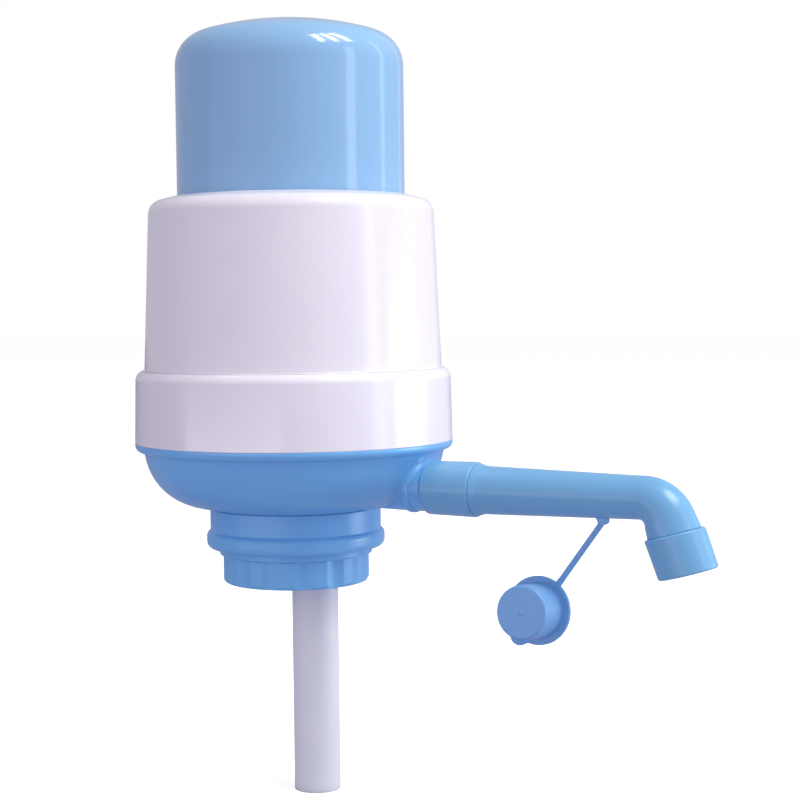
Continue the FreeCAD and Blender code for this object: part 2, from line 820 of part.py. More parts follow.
# Bellows: folded wall between two cuffs, one on the deck's spigot, one round the head
def make_bellows():
    body = new_body("bellows")
    cuff_inner = s.spigot_radius + s.slide_gap
    cuff_outer = cuff_inner + s.bellows_wall
    bottom = deck_top + s.seat_gap
    low = bottom + s.bellows_cuff
    high = head_bottom - s.bellows_lip
    folds = int(s.bellows_folds.number)
    pitch = (high - low) / s.bellows_folds
    outer = [(cuff_outer, bottom), (cuff_outer, low)]
    inner = []
    for i in range(folds):
        crest = low + pitch * (i + 0.5)
        outer.append((s.bellows_outer, crest))
        inner.append((s.bellows_outer - s.bellows_wall * 1.4, crest))
        if i < folds - 1:
            valley = low + pitch * (i + 1)
            outer.append((s.bellows_inner + s.bellows_wall * 1.4, valley))
            inner.append((s.bellows_inner, valley))
    outer += [(cuff_outer, high), (cuff_outer, s.head_height)]
    inner.reverse()
    lip = [
        (cuff_inner, s.head_height),
        (cuff_inner, head_bottom - s.seat_gap),
        (cuff_inner - s.bellows_lip, head_bottom - s.seat_gap),
        (cuff_inner - s.bellows_lip, high),
    ]
    revolve(body, outer + lip + inner + [(cuff_inner, low), (cuff_inner, bottom)])
    node(body, "bellows")
    clamp = new_body("bellows_clamp")
    start = deck_top + s.clamp_lift
    inside = cuff_outer + s.seat_gap
    outside = inside + s.clamp_wall
    revolve(clamp, [
        (inside, start),
        (outside, start, "round", s.clamp_wall / 4),
        (outside, start + s.clamp_height, "round", s.clamp_wall / 4),
        (inside, start + s.clamp_height),
    ])
    node(clamp, "bellows_clamp")


# Head: the bellows' top plate with its inlet ports
def make_bellows_head():
    disc = cylinder("head_disc", s.spigot_radius, s.head_wall, 0, 0, head_bottom)
    holes = fuse("head_holes", *valve_holes("head", ZERO, head_bottom, s.head_wall))
    node(cut("bellows_head", disc, holes), "bellows_head")


# Return spring: one unbroken wire of quarter-turn arcs between the deck and the head
def make_return_spring():
    wire = s.spring_wire.number
    radius = s.spring_radius.number
    turns = int(s.spring_turns.number)
    low = deck_top.number + wire + s.seat_gap.number
    high = head_bottom.number - wire - s.seat_gap.number
    steps = turns * 4
    arcs = []

    def on_coil(share):
        angle = share * turns * 2 * math.pi
        return Vector(radius * math.cos(angle), radius * math.sin(angle),
                      low + (high - low) * share)

    for i in range(steps):
        start, middle, end = (on_coil((i + part) / steps) for part in (0, 0.5, 1))
        arcs.append(Part.Arc(start, middle, end).toShape())
    path = Part.Wire(arcs)
    start = arcs[0].Curve.value(arcs[0].FirstParameter)
    along = arcs[0].tangentAt(arcs[0].FirstParameter)
    side = Vector(start.x, start.y, 0).normalize()
    up = along.cross(side)
    ring = [start + side * (wire * math.cos(a)) + up * (wire * math.sin(a))
            for a in (math.pi * k / 3 for k in range(6))]
    section = Part.makePolygon(ring + [ring[0]])
    shape = path.makePipeShell([section], True, False)
    spring = doc.addObject("Part::Feature", "return_spring")
    spring.Shape = Part.Solid(shape) if shape.ShapeType == "Shell" else shape
    node(spring, "return_spring")


# Neck collar: the skirt under the bowl, with the sealing neck that carries the ring
def make_neck_collar():
    body = new_body("neck_collar")
    web = s.bowl_bottom - s.collar_web
    neck_radius = s.neck_bore + s.neck_wall
    snap = neck_radius + s.snap_width
    bead_middle = (s.collar_bead_top + s.collar_bead_bottom) / 2
    bead_round = (s.collar_bead_top - s.collar_bead_bottom) / 2
    revolve(body, [
        (s.neck_bore, s.neck_bottom),
        (neck_radius, s.neck_bottom),
        (snap, s.neck_bottom + s.snap_depth / 2),
        (snap, s.neck_bottom + s.snap_depth),
        (neck_radius, s.neck_bottom + s.snap_depth),
        (neck_radius, web),
        (s.collar_bore, web),
        (s.collar_bore, s.collar_bottom),
        (s.collar_step_radius, s.collar_bottom),
        (s.collar_step_radius, s.collar_bead_bottom),
        (s.collar_bead_radius - bead_round / 2, s.collar_bead_bottom),
        (s.collar_bead_radius - bead_round / 4, bead_middle, "left", bead_round * 1.2),
        (s.collar_radius, s.collar_bead_top, "left", bead_round * 1.4),
        (s.collar_radius, s.bowl_bottom),
        (s.neck_bore, s.bowl_bottom),
    ])
    node(body, "neck_collar")
    gasket = new_body("neck_gasket")
    inside = s.neck_bore - s.seat_gap
    top = s.neck_bottom - s.seat_gap
    revolve(gasket, [
        (inside - s.gasket_lip, top - s.gasket_wall),
        (s.gasket_radius, top - s.gasket_wall),
        (s.gasket_radius, top),
        (inside, top),
        (inside, top + s.gasket_lip_depth),
        (inside - s.gasket_lip, top + s.gasket_lip_depth),
    ])
    node(gasket, "neck_gasket")


# Adapter ring: the fluted swivel nut that takes the jug's neck
def make_adapter_ring():
    body = new_body("adapter_ring")
    bore = s.ring_radius - s.ring_wall
    barrel = s.collar_bore - s.slide_gap
    skirt = s.collar_bottom - s.slide_gap
    flange_hole = s.neck_bore + s.neck_wall + s.slide_gap
    revolve(body, [
        (bore, 0),
        (s.ring_radius, 0, "round", s.ring_round),
        (s.ring_radius, skirt),
        (barrel, skirt),
        (barrel, s.ring_top),
        (flange_hole, s.ring_top),
        (flange_hole, s.ring_top - s.ring_flange),
        (bore, s.ring_top - s.ring_flange),
    ])
    punch(body, "adapter_flute", "XY_Plane", 0,
          s.ring_radius + s.flute_radius - s.flute_depth, 0, s.flute_radius,
          skirt * 2, s.flute_count)
    node(body, "adapter_ring")


# Suction tube and the seal round it
def make_suction_tube():
    length = s.tube_top - s.tube_bottom
    outside = cylinder("tube_outside", s.tube_radius, length, s.tube_offset, 0,
                       s.tube_bottom)
    inside = cylinder("tube_inside", s.tube_radius - s.tube_wall, length, s.tube_offset, 0,
                      s.tube_bottom)
    node(cut("suction_tube", outside, inside), "suction_tube")
    seal = torus("tube_seal", s.tube_radius + s.seat_gap + s.seal_wire, s.seal_wire,
                 s.tube_offset, 0, s.seal_height)
    node(seal, "tube_seal")


# Outlet nipple, the pivot pressed into the bowl's stub, with its O-ring
def make_outlet_nipple():
    body = new_body("outlet_nipple")
    groove = s.nipple_radius - s.nipple_seal_wire * 2
    half = s.nipple_groove_width / 2
    bead_start = s.socket_bore_end + s.slide_gap
    bead_end = bead_start + s.nipple_bead_length
    revolve(body, [
        (s.stub_end - s.nipple_tail, s.nipple_bore),
        (s.stub_end - s.nipple_tail, s.nipple_tail_radius),
        (s.stub_end, s.nipple_tail_radius),
        (s.stub_end, s.nipple_collar_radius),
        (s.socket_start - s.slide_gap, s.nipple_collar_radius),
        (s.socket_start - s.slide_gap, s.nipple_radius),
        (s.nipple_groove - half, s.nipple_radius),
        (s.nipple_groove - half, groove),
        (s.nipple_groove + half, groove),
        (s.nipple_groove + half, s.nipple_radius),
        (bead_start, s.nipple_radius),
        (bead_start, s.nipple_radius + s.nipple_bead),
        (bead_end, s.nipple_radius),
        (bead_end, s.nipple_bore),
    ], "H_Axis")
    place(body, 0, 0, s.outlet_height)
    node(body, "outlet_nipple")
    seal = torus("outlet_seal", groove + s.seat_gap + s.nipple_seal_wire,
                 s.nipple_seal_wire, s.nipple_groove, 0, s.outlet_height, ALONG_X)
    node(seal, "outlet_seal")


# Socket collar: turns on the nipple and takes the arm's tenon
def make_socket_collar():
    body = new_body("socket_collar")
    bore = s.nipple_radius + s.shaft_gap
    pocket = s.nipple_radius + s.nipple_bead + s.slide_gap
    tenon = s.tenon_radius + s.seat_gap
    revolve(body, [
        (s.socket_start, bore),
        (s.socket_start, s.socket_start_radius, "round", s.socket_edge),
        (s.socket_end, s.socket_end_radius, "round", s.socket_edge),
        (s.socket_end, tenon),
        (s.socket_end - s.tenon_length, tenon),
        (s.socket_end - s.tenon_length, pocket),
        (s.socket_bore_end, pocket),
        (s.socket_bore_end, bore),
    ], "H_Axis")
    place(body, 0, 0, s.outlet_height)
    node(body, "socket_collar")


# Spout arm: tapered barrel, a bend that opens as it turns down, and the tip's spigot
bend_reach = s.bend_radius * ((90 - s.spout_tilt) / 2).tan()
bend_start = s.arm_corner - bend_reach
OUTLET_TURN = ((0, 1, 0), 180 - s.spout_tilt)


def sweep_bend(name, start_radius, end_radius):
    """A bend whose section grows from the barrel's to the outlet's."""
    spine = doc.addObject("Part::Circle", name + "_spine")
    spine.setExpression("Radius", s.bend_radius.formula)
    spine.setExpression("Angle1", s.spout_tilt.formula)
    spine.Angle2 = 90
    place(spine, bend_start, 0, s.outlet_height - s.bend_radius, ((1, 0, 0), 90))
    first = doc.addObject("Part::Circle", name + "_start")
    first.setExpression("Radius", start_radius.formula)
    place(first, bend_start, 0, s.outlet_height, ALONG_X)
    last = doc.addObject("Part::Circle", name + "_end")
    last.setExpression("Radius", end_radius.formula)
    place(last, s.arm_corner + bend_reach * s.spout_tilt.sin(), 0,
          s.outlet_height - bend_reach * s.spout_tilt.cos(), OUTLET_TURN)
    bend = doc.addObject("Part::Sweep", name)
    bend.Sections = [first, last]
    bend.Spine = (spine, ["Edge1"])
    bend.Solid = True
    bend.Frenet = False
    return bend


def make_spout_arm():
    tenon_start = s.socket_end - s.tenon_length + s.slide_gap
    barrel = new_body("arm_barrel")
    revolve(barrel, [
        (tenon_start, 0),
        (tenon_start, s.tenon_radius),
        (s.socket_end, s.tenon_radius),
        (s.socket_end, s.arm_shoulder_radius),
        (s.socket_end + s.arm_shoulder_length, s.arm_start_radius),
        (bend_start, s.arm_end_radius),
        (bend_start, 0),
    ], "H_Axis")
    place(barrel, 0, 0, s.outlet_height)
    outlet = new_body("arm_outlet")
    revolve(outlet, [
        (0, bend_reach),
        (s.flare_start_radius, bend_reach),
        (s.flare_end_radius, s.outlet_length),
        (s.outlet_spigot_radius, s.outlet_length),
        (s.outlet_spigot_radius, s.outlet_length + s.outlet_spigot_length),
        (0, s.outlet_length + s.outlet_spigot_length),
    ])
    place(outlet, s.arm_corner, 0, s.outlet_height, OUTLET_TURN)
    bend = sweep_bend("arm_bend", s.arm_end_radius, s.flare_start_radius)
    pin_height = s.outlet_height - s.strap_drop
    slot_width = s.strap_depth + s.shaft_gap * 2
    lug_width = slot_width + s.lug_wall * 2
    lug = cylinder("arm_lug_nose", s.lug_radius, lug_width, s.strap_root, lug_width / 2,
                   pin_height, ((1, 0, 0), 90))
    root = block("arm_lug_root", s.lug_radius * 2, lug_width, s.strap_drop - s.arm_bore,
                 s.strap_root - s.lug_radius, -lug_width / 2, pin_height)
    outer = fuse("arm_outer", barrel, bend, outlet, lug, root)
    hollow = fuse(
        "arm_hollow",
        cylinder("arm_bore", s.arm_bore, bend_start - tenon_start, tenon_start, 0,
                 s.outlet_height, ALONG_X),
        sweep_bend("arm_bend_bore", s.arm_bore, s.arm_bore),
        cylinder("arm_outlet_bore", s.arm_bore,
                 s.outlet_length + s.outlet_spigot_length - bend_reach,
                 s.arm_corner + bend_reach * s.spout_tilt.sin(), 0,
                 s.outlet_height - bend_reach * s.spout_tilt.cos(), OUTLET_TURN),
        cylinder("arm_eye_slot", s.lug_radius + s.shaft_gap, slot_width, s.strap_root,
                 slot_width / 2, pin_height, ((1, 0, 0), 90)),
        cylinder("arm_pin_hole", s.strap_pin_radius + s.shaft_gap, lug_width + 1,
                 s.strap_root, (lug_width + 1) / 2, pin_height, ((1, 0, 0), 90)),
    )
    node(cut("spout_arm", outer, hollow), "spout_arm")


# Nozzle tip: the sleeve pushed over the arm's outlet
def make_nozzle_tip():
    body = new_body("nozzle_tip")
    start = s.outlet_length
    end = start + s.tip_length
    shelf = start + s.outlet_spigot_length + s.slide_gap
    socket = s.outlet_spigot_radius + s.seat_gap
    revolve(body, [
        (socket, start),
        (s.tip_top_radius, start, "round", s.tip_edge),
        (s.tip_end_radius, end, "round", s.tip_edge),
        (s.tip_bore, end),
        (s.tip_bore, shelf),
        (socket, shelf),
    ])
    place(body, s.arm_corner, 0, s.outlet_height, OUTLET_TURN)
    node(body, "nozzle_tip")


# Strap and plug cap: the strap's eye and pin turn between the arm's two lugs
def make_strap():
    eye = cylinder("strap_eye", s.strap_eye_radius, s.strap_depth, 0, s.strap_depth / 2, 0,
                   ((1, 0, 0), 90))
    pin = cylinder("strap_pin", s.strap_pin_radius, s.strap_pin_length, 0,
                   s.strap_pin_length / 2, 0, ((1, 0, 0), 90))
    band = block("strap_band", s.strap_width, s.strap_depth, s.strap_length,
                 -s.strap_width / 2, -s.strap_depth / 2, -s.strap_length)
    whole = fuse("cap_strap", eye, pin, band)
    place(whole, s.strap_root, 0, s.outlet_height - s.strap_drop,
          ((0, 1, 0), s.strap_tilt))
    node(whole, "cap_strap")


def make_nozzle_cap():
    half = s.plug_flange_wall / 2
    body = new_body("cap_plug")
    end = half + s.plug_depth
    revolve(body, [
        (0, end - s.plug_wall),
        (s.plug_radius - s.plug_wall - s.plug_round / 2, end - s.plug_wall),
        (s.plug_radius - s.plug_wall, -half),
        (s.plug_flange_radius, -half, "round", half / 2),
        (s.plug_flange_radius, half, "round", half / 2),
        (s.plug_radius, half),
        (s.plug_end_radius, end, "round", s.plug_round),
        (s.plug_gate_radius, end),
        (s.plug_gate_radius, end + s.plug_gate_height),
        (0, end + s.plug_gate_height),
    ])
    neck = s.plug_flange_radius + s.plug_neck
    tab = new_body("cap_tab")
    sketch = new_sketch(tab, "cap_tab_outline", "XY_Plane")
    sketch.setExpression("AttachmentOffset.Base.z", (-half).formula)
    draw_outline(sketch, [
        (s.tab_width / 2, 0),
        (-s.tab_width / 2, 0),
        (-s.tab_width / 2, -s.tab_reach, "round", s.tab_round),
        (s.tab_width / 2, -s.tab_reach, "round", s.tab_round),
    ])
    pad = tab.newObject("PartDesign::Pad", "cap_tab_pad")
    pad.Profile = sketch
    pad.setExpression("Length", s.plug_flange_wall.formula)
    place(tab, 0, 0, 0, ((0, 0, 1), -s.tab_turn))
    stem = block("cap_stem", s.strap_width, s.plug_neck * 2, s.plug_flange_wall,
                 -s.strap_width / 2, s.plug_flange_radius - s.plug_neck, -half)
    hollow_depth = end - s.plug_wall + half
    hollow = cone("cap_hollow", s.plug_radius - s.plug_wall,
                  s.plug_radius - s.plug_wall - s.plug_round / 2, hollow_depth, 0, 0, -half)
    whole = cut("nozzle_cap", fuse("cap_whole", body, tab, stem), hollow)
    reach = s.strap_length + neck
    place(whole, s.strap_root - reach * s.strap_tilt.sin(), 0,
          s.outlet_height - s.strap_drop - reach * s.strap_tilt.cos(),
          ((1, 0, 0), 90), ((0, 0, 1), -s.strap_tilt), ((0, 1, 0), -s.plug_twist))
    node(whole, "nozzle_cap")


make_press_cap()
make_outer_sleeve()
make_base_bowl()
make_deck()
make_deck_screws()
make_umbrella_valve("delivery_valve", -s.valve_offset, deck_bottom, s.deck_wall)
make_umbrella_valve("intake_valve", ZERO, head_bottom, s.head_wall)
make_bellows()
make_bellows_head()
make_return_spring()
make_neck_collar()
make_adapter_ring()
make_suction_tube()
make_outlet_nipple()
make_socket_collar()
make_spout_arm()
make_nozzle_tip()
make_strap()
make_nozzle_cap()
doc.recompute()

# Checks, then one STEP file a piece
faults = [item.Name for item in doc.Objects
          if "Invalid" in item.State or "Error" in item.State]
for item in NODES:
    if item.Shape.isNull() or not item.Shape.isValid():
        faults.append(item.Label)
if faults:
    raise SystemExit("failed: " + ", ".join(faults))
os.makedirs("parts", exist_ok=True)
for item in NODES:
    item.Shape.exportStep(f"parts/{item.Label}.step")
    print(item.Label, len(item.Shape.Solids), round(item.Shape.Volume, 1))
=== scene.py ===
import math

import bmesh
import bpy
from mathutils import Matrix, Vector


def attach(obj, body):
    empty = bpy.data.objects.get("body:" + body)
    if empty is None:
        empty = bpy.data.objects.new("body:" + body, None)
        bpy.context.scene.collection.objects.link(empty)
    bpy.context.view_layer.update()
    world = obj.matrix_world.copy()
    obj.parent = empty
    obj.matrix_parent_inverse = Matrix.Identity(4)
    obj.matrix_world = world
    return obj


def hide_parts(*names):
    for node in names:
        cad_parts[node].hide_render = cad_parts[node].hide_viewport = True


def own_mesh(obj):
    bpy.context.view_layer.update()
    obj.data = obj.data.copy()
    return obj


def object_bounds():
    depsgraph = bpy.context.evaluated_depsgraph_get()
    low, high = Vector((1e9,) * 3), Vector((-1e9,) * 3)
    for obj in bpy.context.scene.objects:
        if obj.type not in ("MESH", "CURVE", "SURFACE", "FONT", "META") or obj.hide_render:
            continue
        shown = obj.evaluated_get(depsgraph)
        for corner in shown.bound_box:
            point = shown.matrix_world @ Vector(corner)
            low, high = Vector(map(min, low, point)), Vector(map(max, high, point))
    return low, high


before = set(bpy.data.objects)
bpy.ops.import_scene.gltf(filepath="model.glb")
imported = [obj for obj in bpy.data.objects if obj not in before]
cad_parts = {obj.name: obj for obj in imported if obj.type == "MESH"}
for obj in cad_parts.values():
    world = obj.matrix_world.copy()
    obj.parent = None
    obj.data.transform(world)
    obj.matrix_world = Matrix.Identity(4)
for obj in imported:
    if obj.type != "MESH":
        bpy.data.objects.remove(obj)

cad_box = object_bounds()
MM = 0.001
# what two pieces leave between them: free, pushed together, and turning on each other
GAP = 0.3
SNUG_GAP = 0.05
RUNNING_GAP = 0.1

# Press cap
CAP_RADIUS = 39.9
CAP_WALL = 2.0
CAP_TOP = 197.0
CAP_CROWN = 111.0
CAP_SHOULDER = 12.0
CROWN_STEPS = 14
SHOULDER_STEPS = 18
CAP_RIM_RADIUS = 43.4
CAP_RIM_TOP = 121.7
CAP_RIM_DEPTH = 3.4
RIB_RADIUS = 25.5
RIB_WALL = 1.8
HEAD_HEIGHT = 186.0
# Outer sleeve
SLEEVE_WALL = 2.2
BAND_RADIUS = 56.0
BAND_BOTTOM = 50.0
BAND_DRAFT = 0.6
BAND_TOP = 75.4
BAND_ROUND = 3.4
SLEEVE_FOOT = 52.3
SLEEVE_HEAD = 49.9
SLEEVE_EDGE = 133.7
SLEEVE_ROUND = 5.2
SLEEVE_TOP = 136.0
GUIDE_RADIUS = 40.2
GUIDE_WALL = 1.9
GUIDE_BOTTOM = 122.0
# Base bowl and its outlet stub
BOWL_WALL = 2.3
UPSTAND_RADIUS = 53.0
UPSTAND_WALL = 2.2
UPSTAND_TOP = 57.0
SNAP_LOW = 52.7
SNAP_HIGH = 55.3
SNAP_RISE = 0.5
SNAP_PLAY = 0.2
BOWL_MOUTH = (53.0, 46.8)
BOWL_CORNER = (49.1, 30.3)
BOWL_ROUND = 21.0
BOWL_FOOT = (30.2, 26.6)
FLOOR_BOTTOM = 25.5
FOOT_CHAMFER = 1.2
RIM_ROUND = 2.4
LIP_SLOPE = 0.4
FLOOR_HOLE = 17.2
LEDGE_HEIGHT = 44.5
LEDGE_WIDTH = 2.5
OUTLET_HEIGHT = 35.35
STUB_START = 28.0
STUB_END = 50.2
STUB_RADIUS = 8.6
STUB_TAPER = 0.7
STUB_FILLET = 2.4
STUB_OVERLAP = 0.25
STUB_STEPS = 96
FILLET_STEPS = 8
TIGHT_FROM = 0.3
TIGHT_SPAN = 0.5
STUB_BEAD = 3.0
STUB_BEAD_RISE = 0.2
NIPPLE_BORE_RADIUS = 6.85
# Neck collar, adapter ring and tube
COLLAR_RADIUS = 30.2
COLLAR_BEAD_RADIUS = 31.5
COLLAR_BEAD_TOP = 18.7
COLLAR_BEAD_BOTTOM = 12.3
COLLAR_STEP_RADIUS = 27.0
COLLAR_BOTTOM = 9.9
COLLAR_BORE = 24.9
COLLAR_WEB = 22.9
NECK_BORE = 17.6
NECK_WALL = 2.4
NECK_BOTTOM = 17.3
NECK_SNAP = 1.5
RING_RADIUS = 25.8
RING_WALL = 2.2
RING_TOP = 21.6
RING_FLANGE = 2.0
RING_ROUND = 1.9
RING_GAP = 0.12
FLUTE_COUNT = 14
FLUTE_RADIUS = 8.0
FLUTE_DEPTH = 0.9
THREAD_TURNS = 2.25
THREAD_STEPS = 216
THREAD_START = 2.6
THREAD_PITCH = 4.2
THREAD_WIDTH = 1.6
THREAD_DEPTH = 0.7
THREAD_ROOT = 0.3
THREAD_FADE = 12
TUBE_OFFSET = 7.7
TUBE_RADIUS = 8.15
TUBE_WALL = 1.25
TUBE_BOTTOM = -74.0
TUBE_TOP = 30.95
# Spout
NIPPLE_RADIUS = 6.4
NIPPLE_COLLAR_RADIUS = 8.2
NIPPLE_BORE = 4.4
NIPPLE_ROOT_RADIUS = 6.8
NIPPLE_ROOT_LENGTH = 11.0
NIPPLE_BARB = 0.6
NIPPLE_BARB_LENGTH = 1.0
SEAL_GROOVE = (61.2, 62.8)
SEAL_GROOVE_DEPTH = 1.0
SOCKET_START = 54.8
SOCKET_END = 73.0
SOCKET_START_RADIUS = 9.1
SOCKET_END_RADIUS = 9.3
SOCKET_EDGE = 0.7
SOCKET_BORE_END = 68.4
BARB_ROOM = 0.9
TENON_RADIUS = 8.0
TENON_LENGTH = 3.2
ARM_SHOULDER = 8.9
ARM_SHOULDER_LENGTH = 2.8
ARM_START = 8.1
ARM_END = 7.05
ARM_BORE = 5.0
ARM_CORNER = 138.4
BEND_RADIUS = 10.0
BEND_STEPS = 20
SPOUT_TILT = math.radians(20.5)
FLARE_START = 8.3
FLARE_RADIUS = 8.8
FLARE_END = 11.6
SPIGOT_RADIUS = 7.3
SPIGOT_LENGTH = 4.4
TIP_LENGTH = 13.5
TIP_TOP = 9.9
TIP_END = 9.75
TIP_BORE = 9.0
TIP_EDGE = 0.7
TIP_SHELF = SPIGOT_LENGTH + GAP
END_LEAN = math.radians(5)
# Strap and plug cap
STRAP_ROOT = 118.2
STRAP_DROP = 8.15
STRAP_TILT = math.radians(36.5)
STRAP_LENGTH = 24.8
STRAP_WIDTH = 1.9
STRAP_DEPTH = 1.5
STRAP_SQUARENESS = 5
EYE_RADIUS = 1.35
PIN_RADIUS = 0.75
PIN_LENGTH = 4.0
LUG_RADIUS = 1.35
LUG_WALL = 1.3
LUG_SWEEP = 3.0
EYE_GAP = 0.1
FLANGE_RADIUS = 11.4
FLANGE_WALL = 1.5
FLANGE_EDGE = 0.6
PLUG_RADIUS = 8.95
PLUG_END = 8.85
PLUG_DEPTH = 13.0
PLUG_WALL = 1.4
PLUG_ROUND = 0.9
PLUG_TWIST = math.radians(3)
PLUG_LEAN = math.radians(5)
GATE_RADIUS = 0.8
GATE_HEIGHT = 0.3
NECK_REACH = 13.5
TAB_TURN = math.radians(30)
TAB_REACH = 12.7
TAB_WIDTH = 17.6
TAB_ROUND = 3.4
# Bellows and spring
DECK_TOP = 47.8
BELLOWS_OUTER = 35.6
BELLOWS_INNER = 29.0
BELLOWS_WALL = 1.2
BELLOWS_FOLDS = 9
BELLOWS_CUFF = 7.4
BELLOWS_LIP = 2.8
CUFF_INNER = 30.3
HEAD_BOTTOM = 182.8
SPRING_RADIUS = 23.5
SPRING_WIRE = 1.1
SPRING_TURNS = 7
SPRING_STEPS = 336


# Mesh tools
def outline(*corners):
    """A closed outline of (radius, distance) points. A corner's third number rounds it."""
    points = []
    for i, corner in enumerate(corners):
        here = Vector(corner[:2])
        if len(corner) == 2:
            points.append(here)
            continue
        back = (Vector(corners[i - 1][:2]) - here).normalized()
        ahead = (Vector(corners[(i + 1) % len(corners)][:2]) - here).normalized()
        half = back.angle(ahead) / 2
        centre = here + (back + ahead).normalized() * corner[2] / math.sin(half)
        first = here + back * corner[2] / math.tan(half) - centre
        turn = math.pi - 2 * half
        if back.x * ahead.y - back.y * ahead.x > 0:
            turn = -turn
        pieces = max(3, math.ceil(abs(turn) / math.radians(7)))
        for step in range(pieces + 1):
            points.append(centre + Matrix.Rotation(turn * step / pieces, 2) @ first)
    return points


def upright(distance):
    return Matrix.Translation((0, 0, distance))


def tube_line(distance):
    return Matrix.Translation((TUBE_OFFSET, 0, distance))


BEND_REACH = BEND_RADIUS * math.tan((math.pi / 2 - SPOUT_TILT) / 2)
BEND_START = ARM_CORNER - BEND_REACH
BEND_LENGTH = BEND_RADIUS * (math.pi / 2 - SPOUT_TILT)
OUTLET_START = BEND_START + BEND_LENGTH - BEND_REACH


def spout_line(distance):
    """Along the spout's axis: level, round the bend, then down the outlet, where each
    edge leans a little off square as the outlet's moulded steps do."""
    turned = min(max(distance - BEND_START, 0), BEND_LENGTH) / BEND_RADIUS
    straight = min(distance, BEND_START)
    beyond = max(distance - BEND_START - BEND_LENGTH, 0)
    x = straight + BEND_RADIUS * math.sin(turned) + beyond * math.cos(turned)
    z = OUTLET_HEIGHT - BEND_RADIUS * (1 - math.cos(turned)) - beyond * math.sin(turned)
    lean = Matrix.Identity(4)
    lean[2][0] = -math.tan(END_LEAN) * min(beyond / (FLARE_END - BEND_REACH), 1)
    return (Matrix.Translation((x, 0, z)) @ Matrix.Rotation(math.pi / 2 + turned, 4, "Y")
            @ lean)


STRAP_PLACE = Matrix.Translation((STRAP_ROOT, 0, OUTLET_HEIGHT - STRAP_DROP))


def strap_line(distance):
    """Down the strap from its pin, local x across it in the spout's plane."""
    return (STRAP_PLACE @ Matrix.Rotation(math.pi + STRAP_TILT, 4, "Y")
            @ Matrix.Translation((0, 0, distance)))


def pin_line(distance):
    """Along the strap's pin, local y up."""
    return STRAP_PLACE @ Matrix.Rotation(math.pi / 2, 4, "X") @ upright(distance)


def plug_line(distance):
    """Out of the plug cap's flange, local y back up the strap, turned about its end."""
    hinge = strap_line(STRAP_LENGTH).to_translation()
    return (Matrix.Translation(hinge) @ Matrix.Rotation(math.pi / 2, 4, "X")
            @ Matrix.Rotation(-STRAP_TILT, 4, "Z") @ Matrix.Rotation(-PLUG_TWIST, 4, "Y")
            @ Matrix.Rotation(-PLUG_LEAN, 4, "X")
            @ Matrix.Translation((0, -NECK_REACH, distance)))


def turn(mesh, points, line=upright, steps=160, section=None):
    """Turn a closed outline round a line; section reshapes the radius at an angle."""
    rings = []
    for radius, distance in points:
        place = line(distance)
        if radius < 0.001:
            rings.append([mesh.verts.new(place.to_translation() * MM)])
            continue
        ring = []
        for step in range(steps):
            angle = math.tau * step / steps
            reach = section(radius, distance, angle) if section else radius
            local = Vector((reach * math.cos(angle), reach * math.sin(angle), 0))
            ring.append(mesh.verts.new(place @ local * MM))
        rings.append(ring)
    for low, high in zip(rings, rings[1:] + rings[:1]):
        for step in range(max(len(low), len(high))):
            ahead = step + 1
            corners = [low[step % len(low)], low[ahead % len(low)],
                       high[ahead % len(high)], high[step % len(high)]]
            corners = list(dict.fromkeys(corners))
            if len(corners) > 2:
                mesh.faces.new(corners)


def moulding(name, mesh, body, slot, *nodes):
    """Finish a piece: an object that rides on its body and stands for its nodes."""
    bmesh.ops.recalc_face_normals(mesh, faces=mesh.faces)
    data = bpy.data.meshes.new(name)
    mesh.to_mesh(data)
    mesh.free()
    data.shade_smooth()
    data.set_sharp_from_angle(angle=math.radians(32))
    data.materials.append(FINISHES[slot])
    piece = bpy.data.objects.new(name, data)
    bpy.context.scene.collection.objects.link(piece)
    piece.modifiers.new("even_shading", "WEIGHTED_NORMAL").keep_sharp = True
    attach(piece, body)
    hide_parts(*nodes)
    return piece


# Finishes
def linear(colour):
    """An sRGB hex colour as linear light."""
    shares = [int(colour[i:i + 2], 16) / 255 for i in (1, 3, 5)]
    return [c / 12.92 if c <= 0.04045 else ((c + 0.055) / 1.055) ** 2.4
            for c in shares] + [1.0]


def add_node(tree, kind, given):
    """Add a node. A given name is its own property or an input, which takes a value or
    another node's output."""
    node = tree.nodes.new(kind)
    for name, value in given.items():
        if isinstance(name, str) and hasattr(node, name):
            setattr(node, name, value)
        elif isinstance(value, bpy.types.NodeSocket):
            tree.links.new(value, node.inputs[name])
        else:
            node.inputs[name].default_value = value
    return node


def moulded(name, colour, flow_colour, gloss, surface):
    """Plastic from a polished mould: cloudy flow in the colour and in the gloss, and a
    slow sink ripple that bends the highlights."""
    material = bpy.data.materials.new(name)
    material.use_nodes = True
    tree = material.node_tree
    tree.nodes.clear()
    place = add_node(tree, "ShaderNodeTexCoord", {}).outputs["Object"]
    flow = add_node(tree, "ShaderNodeTexNoise", {
        "Vector": place, "Scale": 1 / (34 * MM), "Detail": 3.0, "Roughness": 0.55})
    tint = add_node(tree, "ShaderNodeMix", {
        "data_type": "RGBA", 0: flow.outputs["Fac"], 6: linear(colour),
        7: linear(flow_colour)})
    rough = add_node(tree, "ShaderNodeMapRange", {
        "Value": flow.outputs["Fac"], "To Min": gloss[0], "To Max": gloss[1]})
    ripple = add_node(tree, "ShaderNodeTexNoise", {
        "Vector": place, "Scale": 1 / (16 * MM), "Detail": 1.0})
    bump = add_node(tree, "ShaderNodeBump", {
        "Height": ripple.outputs["Fac"], "Strength": 1.0, "Distance": 0.05 * MM})
    shader = add_node(tree, "ShaderNodeBsdfPrincipled", {
        "Base Color": tint.outputs[2], "Roughness": rough.outputs[0],
        "Normal": bump.outputs[0]} | surface)
    add_node(tree, "ShaderNodeOutputMaterial", {"Surface": shader.outputs[0]})
    return material


